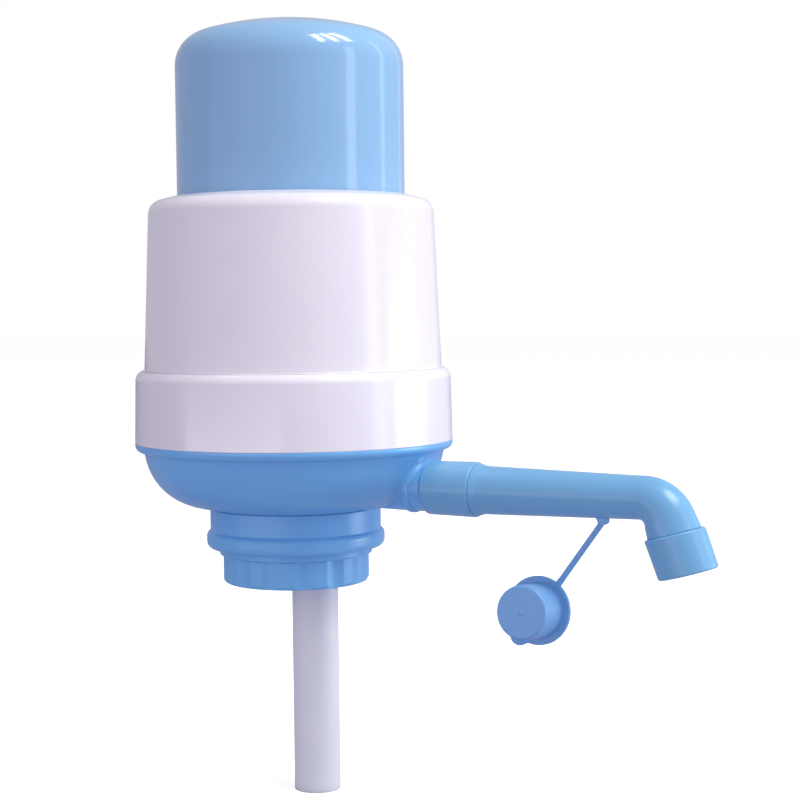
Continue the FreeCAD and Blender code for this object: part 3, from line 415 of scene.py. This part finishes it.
def wound_steel(name):
    """Drawn spring steel and plated screws: bright metal with fine changes of gloss."""
    material = bpy.data.materials.new(name)
    material.use_nodes = True
    tree = material.node_tree
    tree.nodes.clear()
    place = add_node(tree, "ShaderNodeTexCoord", {}).outputs["Object"]
    grain = add_node(tree, "ShaderNodeTexNoise", {
        "Vector": place, "Scale": 1 / (0.7 * MM), "Detail": 2.0})
    rough = add_node(tree, "ShaderNodeMapRange", {
        "Value": grain.outputs["Fac"], "To Min": 0.22, "To Max": 0.42})
    shader = add_node(tree, "ShaderNodeBsdfPrincipled", {
        "Base Color": linear("#B9BCC1"), "Metallic": 1.0, "Roughness": rough.outputs[0]})
    add_node(tree, "ShaderNodeOutputMaterial", {"Surface": shader.outputs[0]})
    return material


# how far red, green and blue light travel inside the plastic, as shares of the scale
SCATTER = (1.0, 0.8, 0.6)
FINISHES = {
    # ABS: the glossiest piece, with clear strip reflections
    "cap_blue": moulded("moulded_abs_sky_blue", "#85AFDA", "#8BB6DE", (0.11, 0.13),
                        {"IOR": 1.53}),
    # polypropylene base: the same blue a step deeper, with a softer shine
    "base_blue": moulded("moulded_polypropylene_blue", "#6AAEE8", "#72B3EB", (0.28, 0.30),
                         {"IOR": 1.49}),
    # polypropylene spout: the same soft shine on a darker, greyer blue
    "spout_blue": moulded("moulded_polypropylene_spout_blue", "#6BA5D3", "#72ABD7",
                          (0.29, 0.31), {"IOR": 1.49}),
    # low-density polyethylene: soft and waxy, with a dull sheen
    "strap_blue": moulded("moulded_polyethylene_blue", "#689FDA", "#70A5DD", (0.34, 0.42),
                          {"IOR": 1.51, "Subsurface Weight": 0.15,
                           "Subsurface Radius": SCATTER, "Subsurface Scale": 1.2 * MM}),
    # ABS: cool lilac white, half gloss, a little light in its edges
    "sleeve_white": moulded("moulded_abs_cool_white", "#E2DEEB", "#E7E4EF", (0.16, 0.22),
                            {"IOR": 1.53, "Subsurface Weight": 0.08,
                             "Subsurface Radius": SCATTER, "Subsurface Scale": 1.0 * MM}),
    # natural polyethylene: milky, with light carried about inside its wall
    "tube_natural": moulded("extruded_polyethylene_natural", "#F2ECFC", "#F5EFFD",
                            (0.34, 0.40),
                            {"IOR": 1.51, "Subsurface Weight": 1.0,
                             "Subsurface Radius": SCATTER, "Subsurface Scale": 4 * MM}),
    # polypropylene: dull white for the parts inside
    "inner_white": moulded("moulded_polypropylene_white", "#E2E0E4", "#E8E6EA",
                           (0.35, 0.45), {"IOR": 1.49}),
    # blown polyethylene: warm, cloudy, thin enough to glow at its folds
    "bellows_natural": moulded("blown_polyethylene_natural", "#DCD8D2", "#E2DED8",
                               (0.38, 0.46),
                               {"IOR": 1.51, "Subsurface Weight": 0.4,
                                "Subsurface Radius": SCATTER, "Subsurface Scale": 2 * MM}),
    # silicone: matt, grey for the seals and white for the valves
    "seal_rubber": moulded("moulded_silicone_grey", "#C9C8CC", "#CFCED2", (0.5, 0.6),
                           {"IOR": 1.41}),
    "valve_rubber": moulded("moulded_silicone_white", "#DEDCDD", "#E3E1E2", (0.5, 0.6),
                            {"IOR": 1.41}),
    # bright drawn steel for the spring and the screws
    "steel": wound_steel("drawn_spring_steel"),
}


# Press cap: a crowned dome, its stop rim, and the rib ring inside
def dome(inset):
    """The dome's line from its top to where the straight wall starts."""
    crown, shoulder = CAP_CROWN - inset, CAP_SHOULDER - inset
    centre = CAP_TOP - CAP_CROWN
    run = CAP_RADIUS - CAP_SHOULDER
    rise = math.sqrt((CAP_CROWN - CAP_SHOULDER) ** 2 - run ** 2)
    lean = math.atan2(run, rise)
    points = []
    for i in range(CROWN_STEPS + 1):
        angle = lean * i / CROWN_STEPS
        points.append(Vector((crown * math.sin(angle), centre + crown * math.cos(angle))))
    for i in range(1, SHOULDER_STEPS + 1):
        angle = lean + (math.pi / 2 - lean) * i / SHOULDER_STEPS
        points.append(Vector((run + shoulder * math.sin(angle),
                              centre + rise + shoulder * math.cos(angle))))
    return points


mesh = bmesh.new()
turn(mesh, dome(0) + outline(
    (CAP_RADIUS, CAP_RIM_TOP), (CAP_RIM_RADIUS, CAP_RIM_TOP),
    (CAP_RIM_RADIUS, CAP_RIM_TOP - CAP_RIM_DEPTH),
    (CAP_RADIUS - CAP_WALL, CAP_RIM_TOP - CAP_RIM_DEPTH)) + dome(CAP_WALL)[::-1])
rib_top = CAP_TOP - CAP_CROWN + math.sqrt((CAP_CROWN - CAP_WALL / 2) ** 2 - RIB_RADIUS ** 2)
turn(mesh, outline((RIB_RADIUS - RIB_WALL, HEAD_HEIGHT), (RIB_RADIUS, HEAD_HEIGHT),
                   (RIB_RADIUS, rib_top), (RIB_RADIUS - RIB_WALL, rib_top)))
moulding("press_cap_dome", mesh, "press", "cap_blue", "press_cap")


# Outer sleeve: drafted shell, rounded band at its foot, turned-in guide at its mouth
mesh = bmesh.new()
turn(mesh, outline(
    (BAND_RADIUS, BAND_BOTTOM, 0.3),
    (BAND_RADIUS - BAND_DRAFT, BAND_TOP, BAND_ROUND),
    (SLEEVE_FOOT, BAND_TOP, 0.5),
    (SLEEVE_HEAD, SLEEVE_EDGE, SLEEVE_ROUND),
    (GUIDE_RADIUS, SLEEVE_TOP, 0.8),
    (GUIDE_RADIUS, GUIDE_BOTTOM),
    (GUIDE_RADIUS + GUIDE_WALL, GUIDE_BOTTOM),
    (GUIDE_RADIUS + GUIDE_WALL, SLEEVE_EDGE - SLEEVE_WALL / 2),
    (SLEEVE_HEAD - SLEEVE_WALL, SLEEVE_EDGE - SLEEVE_WALL, SLEEVE_ROUND - SLEEVE_WALL),
    (SLEEVE_FOOT - SLEEVE_WALL, BAND_TOP - SLEEVE_WALL),
    (BAND_RADIUS - SLEEVE_WALL - BAND_DRAFT, BAND_TOP - SLEEVE_WALL,
     BAND_ROUND - SLEEVE_WALL),
    (UPSTAND_RADIUS + GAP, UPSTAND_TOP + SLEEVE_WALL),
    (UPSTAND_RADIUS + GAP, SNAP_HIGH + SNAP_RISE),
    (UPSTAND_RADIUS + GAP + SNAP_RISE, SNAP_HIGH - SNAP_PLAY),
    (UPSTAND_RADIUS + GAP + SNAP_RISE, SNAP_LOW + SNAP_PLAY),
    (UPSTAND_RADIUS + GAP, SNAP_LOW - GAP),
    (UPSTAND_RADIUS + GAP, BAND_BOTTOM)), steps=192)
moulding("outer_sleeve_shell", mesh, "base", "sleeve_white", "outer_sleeve")


# Base bowl: the shell, its outlet stub, and the fillet where the stub leaves the shell
bowl_face = outline(
    BOWL_FOOT,
    (*BOWL_CORNER, BOWL_ROUND),
    (*BOWL_MOUTH, 0.7),
    (BAND_RADIUS, BOWL_MOUTH[1] + LIP_SLOPE, RIM_ROUND),
    (BAND_RADIUS, BAND_BOTTOM, 0.25),
    (UPSTAND_RADIUS, BAND_BOTTOM))[:-1]


def bowl_radius(height):
    """How far the bowl's outer face is from the pump's axis at this height."""
    for low, high in zip(bowl_face, bowl_face[1:]):
        if low.y <= height <= high.y and high.y > low.y:
            return low.x + (high.x - low.x) * (height - low.y) / (high.y - low.y)
    return bowl_face[0].x if height < bowl_face[0].y else BAND_RADIUS


mesh = bmesh.new()
turn(mesh, bowl_face + outline(
    (UPSTAND_RADIUS, BAND_BOTTOM),
    (UPSTAND_RADIUS, SNAP_LOW), (UPSTAND_RADIUS + SNAP_RISE, SNAP_LOW + SNAP_RISE),
    (UPSTAND_RADIUS + SNAP_RISE, SNAP_HIGH - SNAP_RISE),
    (UPSTAND_RADIUS, SNAP_HIGH), (UPSTAND_RADIUS, UPSTAND_TOP, 0.4),
    (UPSTAND_RADIUS - UPSTAND_WALL, UPSTAND_TOP, 0.4),
    (UPSTAND_RADIUS - UPSTAND_WALL, LEDGE_HEIGHT),
    (UPSTAND_RADIUS - UPSTAND_WALL - LEDGE_WIDTH, LEDGE_HEIGHT),
    (BOWL_CORNER[0] - BOWL_WALL, BOWL_CORNER[1] + BOWL_WALL, BOWL_ROUND - BOWL_WALL),
    (BOWL_FOOT[0], FLOOR_BOTTOM + BOWL_WALL),
    (FLOOR_HOLE, FLOOR_BOTTOM + BOWL_WALL),
    (FLOOR_HOLE, FLOOR_BOTTOM),
    (BOWL_FOOT[0] - FOOT_CHAMFER, FLOOR_BOTTOM)), steps=192)
turn(mesh, outline(
    (NIPPLE_BORE_RADIUS, STUB_START), (STUB_RADIUS - STUB_TAPER, STUB_START),
    (STUB_RADIUS - STUB_TAPER / 2, STUB_END - STUB_BEAD, 0.4),
    (STUB_RADIUS + STUB_BEAD_RISE, STUB_END - STUB_BEAD + 0.5, 0.5),
    (STUB_RADIUS + STUB_BEAD_RISE, STUB_END, 1.0), (NIPPLE_BORE_RADIUS, STUB_END)),
    spout_line, steps=STUB_STEPS)
rings = []
room_below = OUTLET_HEIGHT - FLOOR_BOTTOM - GAP - STUB_RADIUS
for step in range(STUB_STEPS):
    angle = math.tau * step / STUB_STEPS
    across, up = math.sin(angle), math.cos(angle)
    # under the stub the fillet shrinks to the room that the bowl's foot leaves
    tight = min(max(-TIGHT_FROM - up, 0) / TIGHT_SPAN, 1)
    fillet = STUB_FILLET + (room_below - STUB_FILLET) * tight
    ring = []
    for i in range(FILLET_STEPS + 1):
        sweep = math.pi / 2 * i / FILLET_STEPS
        reach = STUB_RADIUS - STUB_OVERLAP + fillet * (1 - math.cos(sweep))
        y, z = reach * across, OUTLET_HEIGHT + reach * up
        shell = math.sqrt(bowl_radius(z) ** 2 - y ** 2)
        ring.append(mesh.verts.new(Vector((
            shell + fillet * (1 - math.sin(sweep)), y, z)) * MM))
    rings.append(ring)
for near, far in zip(rings, rings[1:] + rings[:1]):
    for i in range(FILLET_STEPS):
        mesh.faces.new([near[i], near[i + 1], far[i + 1], far[i]])
moulding("base_bowl_shell", mesh, "base", "base_blue", "base_bowl")


# Neck collar: skirt, round bead, step, and the sealing neck inside
mesh = bmesh.new()
turn(mesh, outline(
    (NECK_BORE, NECK_BOTTOM), (NECK_BORE + NECK_WALL, NECK_BOTTOM),
    (NECK_BORE + NECK_WALL + NECK_SNAP, NECK_BOTTOM + NECK_SNAP / 2),
    (NECK_BORE + NECK_WALL + NECK_SNAP, NECK_BOTTOM + NECK_SNAP),
    (NECK_BORE + NECK_WALL, NECK_BOTTOM + NECK_SNAP),
    (NECK_BORE + NECK_WALL, COLLAR_WEB), (COLLAR_BORE, COLLAR_WEB),
    (COLLAR_BORE, COLLAR_BOTTOM, 0.3),
    (COLLAR_STEP_RADIUS, COLLAR_BOTTOM, 0.5),
    (COLLAR_STEP_RADIUS, COLLAR_BEAD_BOTTOM, 0.25),
    (COLLAR_BEAD_RADIUS, COLLAR_BEAD_BOTTOM, 2.4),
    (COLLAR_BEAD_RADIUS, COLLAR_BEAD_TOP - 1.0, 2.2),
    (COLLAR_RADIUS, COLLAR_BEAD_TOP, 0.5),
    (COLLAR_RADIUS, BOWL_FOOT[1], 0.2),
    (BOWL_FOOT[0] - FOOT_CHAMFER, FLOOR_BOTTOM),
    (NECK_BORE, FLOOR_BOTTOM)), steps=160)
moulding("neck_collar_skirt", mesh, "base", "base_blue", "neck_collar")


# Adapter ring: shallow flutes for the fingers, and the jug neck's thread in its bore
def fluted(radius, distance, angle):
    """Scoops a flute out of the ring's outside at every pitch."""
    centre = RING_RADIUS + FLUTE_RADIUS - FLUTE_DEPTH
    pitch = math.tau / FLUTE_COUNT
    off = (angle + pitch / 2) % pitch - pitch / 2
    inside = FLUTE_RADIUS ** 2 - (centre * math.sin(off)) ** 2
    if inside <= 0 or radius < RING_RADIUS - RING_ROUND or distance > COLLAR_BOTTOM:
        return radius
    return min(radius, centre * math.cos(off) - math.sqrt(inside))


mesh = bmesh.new()
ring_bore = RING_RADIUS - RING_WALL
turn(mesh, outline(
    (ring_bore, 0, 0.4), (RING_RADIUS, 0, RING_ROUND - 0.45),
    (RING_RADIUS, COLLAR_BOTTOM - RING_GAP, 0.3),
    (COLLAR_BORE - GAP, COLLAR_BOTTOM - RING_GAP),
    (COLLAR_BORE - GAP, RING_TOP), (NECK_BORE + NECK_WALL + GAP, RING_TOP),
    (NECK_BORE + NECK_WALL + GAP, RING_TOP - RING_FLANGE),
    (ring_bore, RING_TOP - RING_FLANGE)), steps=336, section=fluted)
rows = []
for step in range(THREAD_STEPS + 1):
    angle = math.tau * THREAD_TURNS * step / THREAD_STEPS
    middle = THREAD_START + THREAD_PITCH * angle / math.tau
    crest = ring_bore - THREAD_DEPTH * min(
        1, step / THREAD_FADE, (THREAD_STEPS - step) / THREAD_FADE)
    root, half_root = ring_bore + THREAD_ROOT, THREAD_WIDTH / 2 + THREAD_ROOT
    rows.append([mesh.verts.new(Vector((reach * math.cos(angle), reach * math.sin(angle),
                                        middle + rise)) * MM)
                 for reach, rise in ((root, half_root), (crest, THREAD_WIDTH / 4),
                                     (crest, -THREAD_WIDTH / 4), (root, -half_root))])
for low, high in zip(rows, rows[1:]):
    for i in range(4):
        mesh.faces.new([low[i], low[i - 1], high[i - 1], high[i]])
mesh.faces.new(rows[0])
mesh.faces.new(rows[-1])
moulding("adapter_ring_fluted", mesh, "ring", "base_blue", "adapter_ring")


# Suction tube
mesh = bmesh.new()
turn(mesh, outline(
    (TUBE_RADIUS - TUBE_WALL, TUBE_BOTTOM, 0.15), (TUBE_RADIUS, TUBE_BOTTOM, 0.25),
    (TUBE_RADIUS, TUBE_TOP), (TUBE_RADIUS - TUBE_WALL, TUBE_TOP)), tube_line, steps=96)
moulding("suction_tube_natural", mesh, "base", "tube_natural", "suction_tube")


# Outlet nipple and the socket collar that turns on it
barb_start = SOCKET_BORE_END + GAP
mesh = bmesh.new()
turn(mesh, outline(
    (NIPPLE_BORE, STUB_END - NIPPLE_ROOT_LENGTH),
    (NIPPLE_ROOT_RADIUS, STUB_END - NIPPLE_ROOT_LENGTH), (NIPPLE_ROOT_RADIUS, STUB_END),
    (NIPPLE_COLLAR_RADIUS, STUB_END), (NIPPLE_COLLAR_RADIUS, SOCKET_START - GAP),
    (NIPPLE_RADIUS, SOCKET_START - GAP), (NIPPLE_RADIUS, SEAL_GROOVE[0]),
    (NIPPLE_RADIUS - SEAL_GROOVE_DEPTH, SEAL_GROOVE[0]),
    (NIPPLE_RADIUS - SEAL_GROOVE_DEPTH, SEAL_GROOVE[1]),
    (NIPPLE_RADIUS, SEAL_GROOVE[1]), (NIPPLE_RADIUS, barb_start),
    (NIPPLE_RADIUS + NIPPLE_BARB, barb_start),
    (NIPPLE_RADIUS, barb_start + NIPPLE_BARB_LENGTH),
    (NIPPLE_BORE, barb_start + NIPPLE_BARB_LENGTH)), spout_line, steps=96)
moulding("outlet_nipple_pivot", mesh, "base", "base_blue", "outlet_nipple")

mesh = bmesh.new()
turn(mesh, outline(
    (NIPPLE_RADIUS + RUNNING_GAP, SOCKET_START, 0.2),
    (SOCKET_START_RADIUS, SOCKET_START, SOCKET_EDGE),
    (SOCKET_END_RADIUS, SOCKET_END, SOCKET_EDGE),
    (TENON_RADIUS + SNUG_GAP, SOCKET_END),
    (TENON_RADIUS + SNUG_GAP, SOCKET_END - TENON_LENGTH),
    (NIPPLE_RADIUS + BARB_ROOM, SOCKET_END - TENON_LENGTH),
    (NIPPLE_RADIUS + BARB_ROOM, SOCKET_BORE_END),
    (NIPPLE_RADIUS + RUNNING_GAP, SOCKET_BORE_END)), spout_line, steps=128)
moulding("socket_collar_turning", mesh, "spout", "spout_blue", "socket_collar")


# Spout arm: tapered barrel, bend and flared outlet in one moulding
tenon_start = SOCKET_END - TENON_LENGTH + GAP
arm_face = outline(
    (ARM_BORE, tenon_start), (TENON_RADIUS, tenon_start), (TENON_RADIUS, SOCKET_END),
    (ARM_SHOULDER, SOCKET_END, 0.3),
    (ARM_START, SOCKET_END + ARM_SHOULDER_LENGTH, 3.0),
    (ARM_END, BEND_START))
bend = [Vector((ARM_END + (FLARE_START - ARM_END) * i / BEND_STEPS,
                BEND_START + BEND_LENGTH * i / BEND_STEPS)) for i in range(1, BEND_STEPS + 1)]
outlet = outline(
    (FLARE_START, OUTLET_START + BEND_REACH),
    (FLARE_RADIUS, OUTLET_START + FLARE_END, 0.3),
    (SPIGOT_RADIUS, OUTLET_START + FLARE_END),
    (SPIGOT_RADIUS, OUTLET_START + FLARE_END + SPIGOT_LENGTH),
    (ARM_BORE, OUTLET_START + FLARE_END + SPIGOT_LENGTH))[1:]
bore = [Vector((ARM_BORE, BEND_START + BEND_LENGTH * (1 - i / BEND_STEPS)))
        for i in range(BEND_STEPS + 1)]
mesh = bmesh.new()
turn(mesh, arm_face + bend + outlet + bore, spout_line, steps=128)


def lug_section(radius, distance, angle):
    """A round nose about the pin, carried up into the arm and swept out to meet it,
    more on the strap's side."""
    across, up = math.cos(angle), math.sin(angle)
    if up <= 0:
        return radius
    top = (STRAP_DROP - ARM_BORE) * radius / LUG_RADIUS
    sweep = LUG_SWEEP if across < 0 else LUG_SWEEP / 4
    return min(radius * (1 + sweep * up * up), top / up)


for side in (-1, 1):
    near = side * (STRAP_DEPTH / 2 + EYE_GAP)
    turn(mesh, outline((0, near), (LUG_RADIUS, near, 0.25),
                       (LUG_RADIUS, near + side * LUG_WALL, 0.25),
                       (0, near + side * LUG_WALL)),
         pin_line, steps=96, section=lug_section)
moulding("spout_arm_barrel", mesh, "spout", "spout_blue", "spout_arm")


# Nozzle tip
mesh = bmesh.new()
tip_start = OUTLET_START + FLARE_END
turn(mesh, outline(
    (SPIGOT_RADIUS + SNUG_GAP, tip_start), (TIP_TOP, tip_start, TIP_EDGE),
    (TIP_END, tip_start + TIP_LENGTH, TIP_EDGE), (TIP_BORE, tip_start + TIP_LENGTH, 0.2),
    (TIP_BORE, tip_start + TIP_SHELF), (SPIGOT_RADIUS + SNUG_GAP, tip_start + TIP_SHELF)),
    spout_line, steps=128)
moulding("nozzle_tip_sleeve", mesh, "spout", "spout_blue", "nozzle_tip")


# Strap: a flat web from the eye and pin that turn between the arm's lugs
def strap_section(radius, distance, angle):
    """A flat web with rounded edges."""
    wide = STRAP_WIDTH / 2 * radius
    deep = STRAP_DEPTH / 2 * radius
    flat = ((abs(math.cos(angle)) / wide) ** STRAP_SQUARENESS
            + (abs(math.sin(angle)) / deep) ** STRAP_SQUARENESS)
    return flat ** (-1 / STRAP_SQUARENESS)


mesh = bmesh.new()
turn(mesh, outline((0, 0), (1.0, 0), (1.0, STRAP_LENGTH), (0, STRAP_LENGTH)),
     strap_line, steps=32, section=strap_section)
for radius, length in ((EYE_RADIUS, STRAP_DEPTH), (PIN_RADIUS, PIN_LENGTH)):
    turn(mesh, outline((0, -length / 2), (radius, -length / 2, 0.2),
                       (radius, length / 2, 0.2), (0, length / 2)), pin_line, steps=48)
moulding("cap_strap_web", mesh, "strap", "strap_blue", "cap_strap")


# Plug cap: hollow plug, flange with its thumb tab and the neck to the strap
def flange_section(radius, distance, angle):
    """Draws the flange's edge out to the strap on one side and to the tab on the other."""
    if radius < FLANGE_RADIUS - FLANGE_EDGE:
        return radius
    trim = FLANGE_RADIUS - radius
    if math.sin(angle) > 0 and abs(math.cos(angle)) * NECK_REACH < STRAP_WIDTH / 2:
        return NECK_REACH - trim
    across, down = abs(math.cos(angle + TAB_TURN)), -math.sin(angle + TAB_TURN)
    if down <= 0:
        return radius
    tab = min(TAB_WIDTH / 2 / max(across, 1e-6), TAB_REACH / down)
    corner = (TAB_WIDTH / 2 - TAB_ROUND, TAB_REACH - TAB_ROUND)
    if across * tab > corner[0] and down * tab > corner[1]:
        along = across * corner[0] + down * corner[1]
        left = corner[0] ** 2 + corner[1] ** 2 - TAB_ROUND ** 2
        tab = along + math.sqrt(max(along ** 2 - left, 0))
    return max(FLANGE_RADIUS, tab) - trim


half = FLANGE_WALL / 2
plug_end = half + PLUG_DEPTH
mesh = bmesh.new()
turn(mesh, outline(
    (0, plug_end - PLUG_WALL),
    (PLUG_RADIUS - PLUG_WALL - PLUG_ROUND / 2, plug_end - PLUG_WALL),
    (PLUG_RADIUS - PLUG_WALL, -half, 0.2),
    (FLANGE_RADIUS, -half, 0.4),
    (FLANGE_RADIUS, half, 0.4),
    (PLUG_RADIUS, half, 0.3),
    (PLUG_END, plug_end, PLUG_ROUND),
    (GATE_RADIUS, plug_end, 0.2),
    (GATE_RADIUS, plug_end + GATE_HEIGHT, 0.2),
    (0, plug_end + GATE_HEIGHT)), plug_line, steps=360, section=flange_section)
moulding("nozzle_cap_plug", mesh, "cap", "strap_blue", "nozzle_cap")


# Bellows and return spring, drawn at rest length; the real ones shorten as the cap is pressed
cuff_outer = CUFF_INNER + BELLOWS_WALL
bellows_foot = DECK_TOP + SNUG_GAP
fold_low = bellows_foot + BELLOWS_CUFF
fold_high = HEAD_BOTTOM - BELLOWS_LIP
pitch = (fold_high - fold_low) / BELLOWS_FOLDS
# level distance through the sloping wall of a fold
wall_across = BELLOWS_WALL * 1.4
outside = [(cuff_outer, bellows_foot), (cuff_outer, fold_low)]
inside = []
for i in range(BELLOWS_FOLDS):
    crest = fold_low + pitch * (i + 0.5)
    outside.append((BELLOWS_OUTER, crest, 0.5))
    inside.append((BELLOWS_OUTER - wall_across, crest, 0.4))
    if i < BELLOWS_FOLDS - 1:
        valley = fold_low + pitch * (i + 1)
        outside.append((BELLOWS_INNER + wall_across, valley, 0.5))
        inside.append((BELLOWS_INNER, valley, 0.4))
mesh = bmesh.new()
turn(mesh, outline(
    *outside, (cuff_outer, fold_high), (cuff_outer, HEAD_HEIGHT),
    (CUFF_INNER, HEAD_HEIGHT), (CUFF_INNER, HEAD_BOTTOM - SNUG_GAP),
    (CUFF_INNER - BELLOWS_LIP, HEAD_BOTTOM - SNUG_GAP),
    (CUFF_INNER - BELLOWS_LIP, fold_high),
    *reversed(inside), (CUFF_INNER, fold_low), (CUFF_INNER, bellows_foot)), steps=128)
bellows = moulding("bellows_folded", mesh, "base", "bellows_natural", "bellows")

spring_low = DECK_TOP + SPRING_WIRE + SNUG_GAP
spring_high = HEAD_BOTTOM - SPRING_WIRE - SNUG_GAP


def coil_line(share):
    """Along the spring's wire, from 0 at its foot to 1 at its top."""
    angle = math.tau * SPRING_TURNS * share
    rise = (spring_high - spring_low) * share
    slope = math.atan2(spring_high - spring_low, math.tau * SPRING_TURNS * SPRING_RADIUS)
    return (Matrix.Translation((0, 0, spring_low + rise)) @ Matrix.Rotation(angle, 4, "Z")
            @ Matrix.Translation((SPRING_RADIUS, 0, 0))
            @ Matrix.Rotation(-math.pi / 2 + slope, 4, "X"))


mesh = bmesh.new()
coil = [Vector((SPRING_WIRE, i / SPRING_STEPS)) for i in range(SPRING_STEPS + 1)]
turn(mesh, [Vector((0, 0))] + coil + [Vector((0, 1))], coil_line, steps=12)
spring = moulding("return_spring_coil", mesh, "base", "steel", "return_spring")
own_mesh(bellows)
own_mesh(spring)


# The pieces shown as the frame has them
for node, slot in {
        "deck_plate": "inner_white", "deck_seal": "seal_rubber", "deck_screws": "steel",
        "bellows_clamp": "inner_white", "bellows_head": "inner_white",
        "intake_valve": "valve_rubber", "delivery_valve": "valve_rubber",
        "tube_seal": "seal_rubber", "outlet_seal": "seal_rubber",
        "neck_gasket": "seal_rubber"}.items():
    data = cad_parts[node].data
    data.materials.clear()
    data.materials.append(FINISHES[slot])


# Stage: white floor, the photograph's camera, soft lamps and a white world
FLOOR_GLOW = 0.6


def seen_directly(tree):
    """1 for what the camera sees, itself or through a clear piece."""
    path = add_node(tree, "ShaderNodeLightPath", {})
    return add_node(tree, "ShaderNodeMath", {
        "operation": "MAXIMUM", 0: path.outputs["Is Camera Ray"],
        1: path.outputs["Is Transmission Ray"]}).outputs[0]


def white_floor():
    """Paper white where it is seen, though darkened by what stands on it, and grey in
    the light that it throws back up."""
    material = bpy.data.materials.new("white_floor_paper")
    material.use_nodes = True
    tree = material.node_tree
    tree.nodes.clear()
    seen = seen_directly(tree)
    paper = add_node(tree, "ShaderNodeMix", {
        "data_type": "RGBA", 0: seen, 6: linear("#AEAABC"), 7: linear("#E6E6E6")})
    diffuse = add_node(tree, "ShaderNodeBsdfDiffuse", {"Color": paper.outputs[2]})
    lift = add_node(tree, "ShaderNodeMath", {
        "operation": "MULTIPLY", 0: seen, 1: FLOOR_GLOW})
    glow = add_node(tree, "ShaderNodeEmission", {"Strength": lift.outputs[0]})
    both = add_node(tree, "ShaderNodeAddShader", {0: diffuse.outputs[0], 1: glow.outputs[0]})
    add_node(tree, "ShaderNodeOutputMaterial", {"Surface": both.outputs[0]})
    return material


mesh = bmesh.new()
bmesh.ops.create_grid(mesh, x_segments=1, y_segments=1, size=6.0)
data = bpy.data.meshes.new("studio_floor")
mesh.to_mesh(data)
mesh.free()
data.materials.append(white_floor())
floor = bpy.data.objects.new("studio_floor", data)
floor.location.z = cad_box[0][2]
bpy.context.scene.collection.objects.link(floor)

# the photograph's camera, fitted to its ellipses of the rims
LENS = 81
VIEW_AZIMUTH = math.radians(33)
toward = Vector((math.sin(VIEW_AZIMUTH), -math.cos(VIEW_AZIMUTH), 0))
rightward = Vector((math.cos(VIEW_AZIMUTH), math.sin(VIEW_AZIMUTH), 0))
CAMERA_DISTANCE = 637.45
CAMERA_HEIGHT = 100.55
CAMERA_YAW = math.radians(3.37)
CAMERA_PITCH = math.radians(3.32)
CAMERA_ROLL = math.radians(-0.63)
LAMP_AIM = 0.09


def add_camera():
    camera = bpy.data.objects.new("camera", bpy.data.cameras.new("camera"))
    camera.data.lens = LENS
    level = math.cos(CAMERA_YAW) * -toward + math.sin(CAMERA_YAW) * rightward
    look = level * math.cos(CAMERA_PITCH) - Vector((0, 0, math.sin(CAMERA_PITCH)))
    right = math.cos(CAMERA_YAW) * rightward + math.sin(CAMERA_YAW) * toward
    up = right.cross(look)
    tilted = math.cos(CAMERA_ROLL) * right + math.sin(CAMERA_ROLL) * up
    up = math.cos(CAMERA_ROLL) * up - math.sin(CAMERA_ROLL) * right
    camera.matrix_world = Matrix.Translation(
        (toward * CAMERA_DISTANCE + Vector((0, 0, CAMERA_HEIGHT))) * MM
    ) @ Matrix((tilted, up, -look)).transposed().to_4x4()
    bpy.context.scene.collection.objects.link(camera)
    bpy.context.scene.camera = camera


add_camera()


def soft_lamp(name, bearing, height, distance, width, tall, power, colour):
    """A soft box at this bearing from the camera's side, in degrees to the right, aimed
    at the pump's middle. Lengths are in metres."""
    angle = math.radians(bearing)
    spot = (toward * math.cos(angle) + rightward * math.sin(angle)) * distance
    spot.z = height
    lamp = bpy.data.lights.new(name, "AREA")
    lamp.shape = "RECTANGLE"
    lamp.size, lamp.size_y = width, tall
    lamp.energy = power
    lamp.color = linear(colour)[:3]
    box = bpy.data.objects.new(name, lamp)
    box.location = spot
    aim = Vector((0, 0, LAMP_AIM)) - spot
    box.rotation_euler = aim.to_track_quat("-Z", "Y").to_euler()
    bpy.context.scene.collection.objects.link(box)


for pane, bearing in enumerate((38, 56, 74)):
    soft_lamp(f"key_window_{pane}", bearing, 1.30, 0.90, 0.11, 0.6, 6.0, "#FFFFF4")
soft_lamp("side_strip", 104, 0.30, 1.0, 0.10, 1.1, 0.6, "#FFFFFF")
soft_lamp("front_strip", 62, 0.25, 1.2, 0.22, 0.9, 1.6, "#FFFFFF")
soft_lamp("edge_strip", 142, 0.30, 1.0, 0.05, 1.1, 0.12, "#FFFFFF")
soft_lamp("low_side", 88, 0.03, 0.9, 0.35, 0.18, 2.1, "#F2FAFF")
soft_lamp("low_front", -45, -0.03, 1.1, 1.6, 0.06, 2.0, "#FAF6FF")
soft_lamp("left_fill", -60, 0.5, 1.5, 1.5, 1.2, 1.7, "#F8EEF6")

world = bpy.data.worlds.new("studio_air")
world.use_nodes = True
bpy.context.scene.world = world
tree = world.node_tree
tree.nodes.clear()
air = add_node(tree, "ShaderNodeBackground", {"Color": linear("#F2EEF8"), "Strength": 0.57})
white = add_node(tree, "ShaderNodeBackground", {"Color": linear("#FFFFFF"), "Strength": 1.0})
mixed = add_node(tree, "ShaderNodeMixShader", {
    0: seen_directly(tree), 1: air.outputs[0], 2: white.outputs[0]})
add_node(tree, "ShaderNodeOutputWorld", {"Surface": mixed.outputs[0]})

bpy.context.scene.view_settings.view_transform = "Standard"
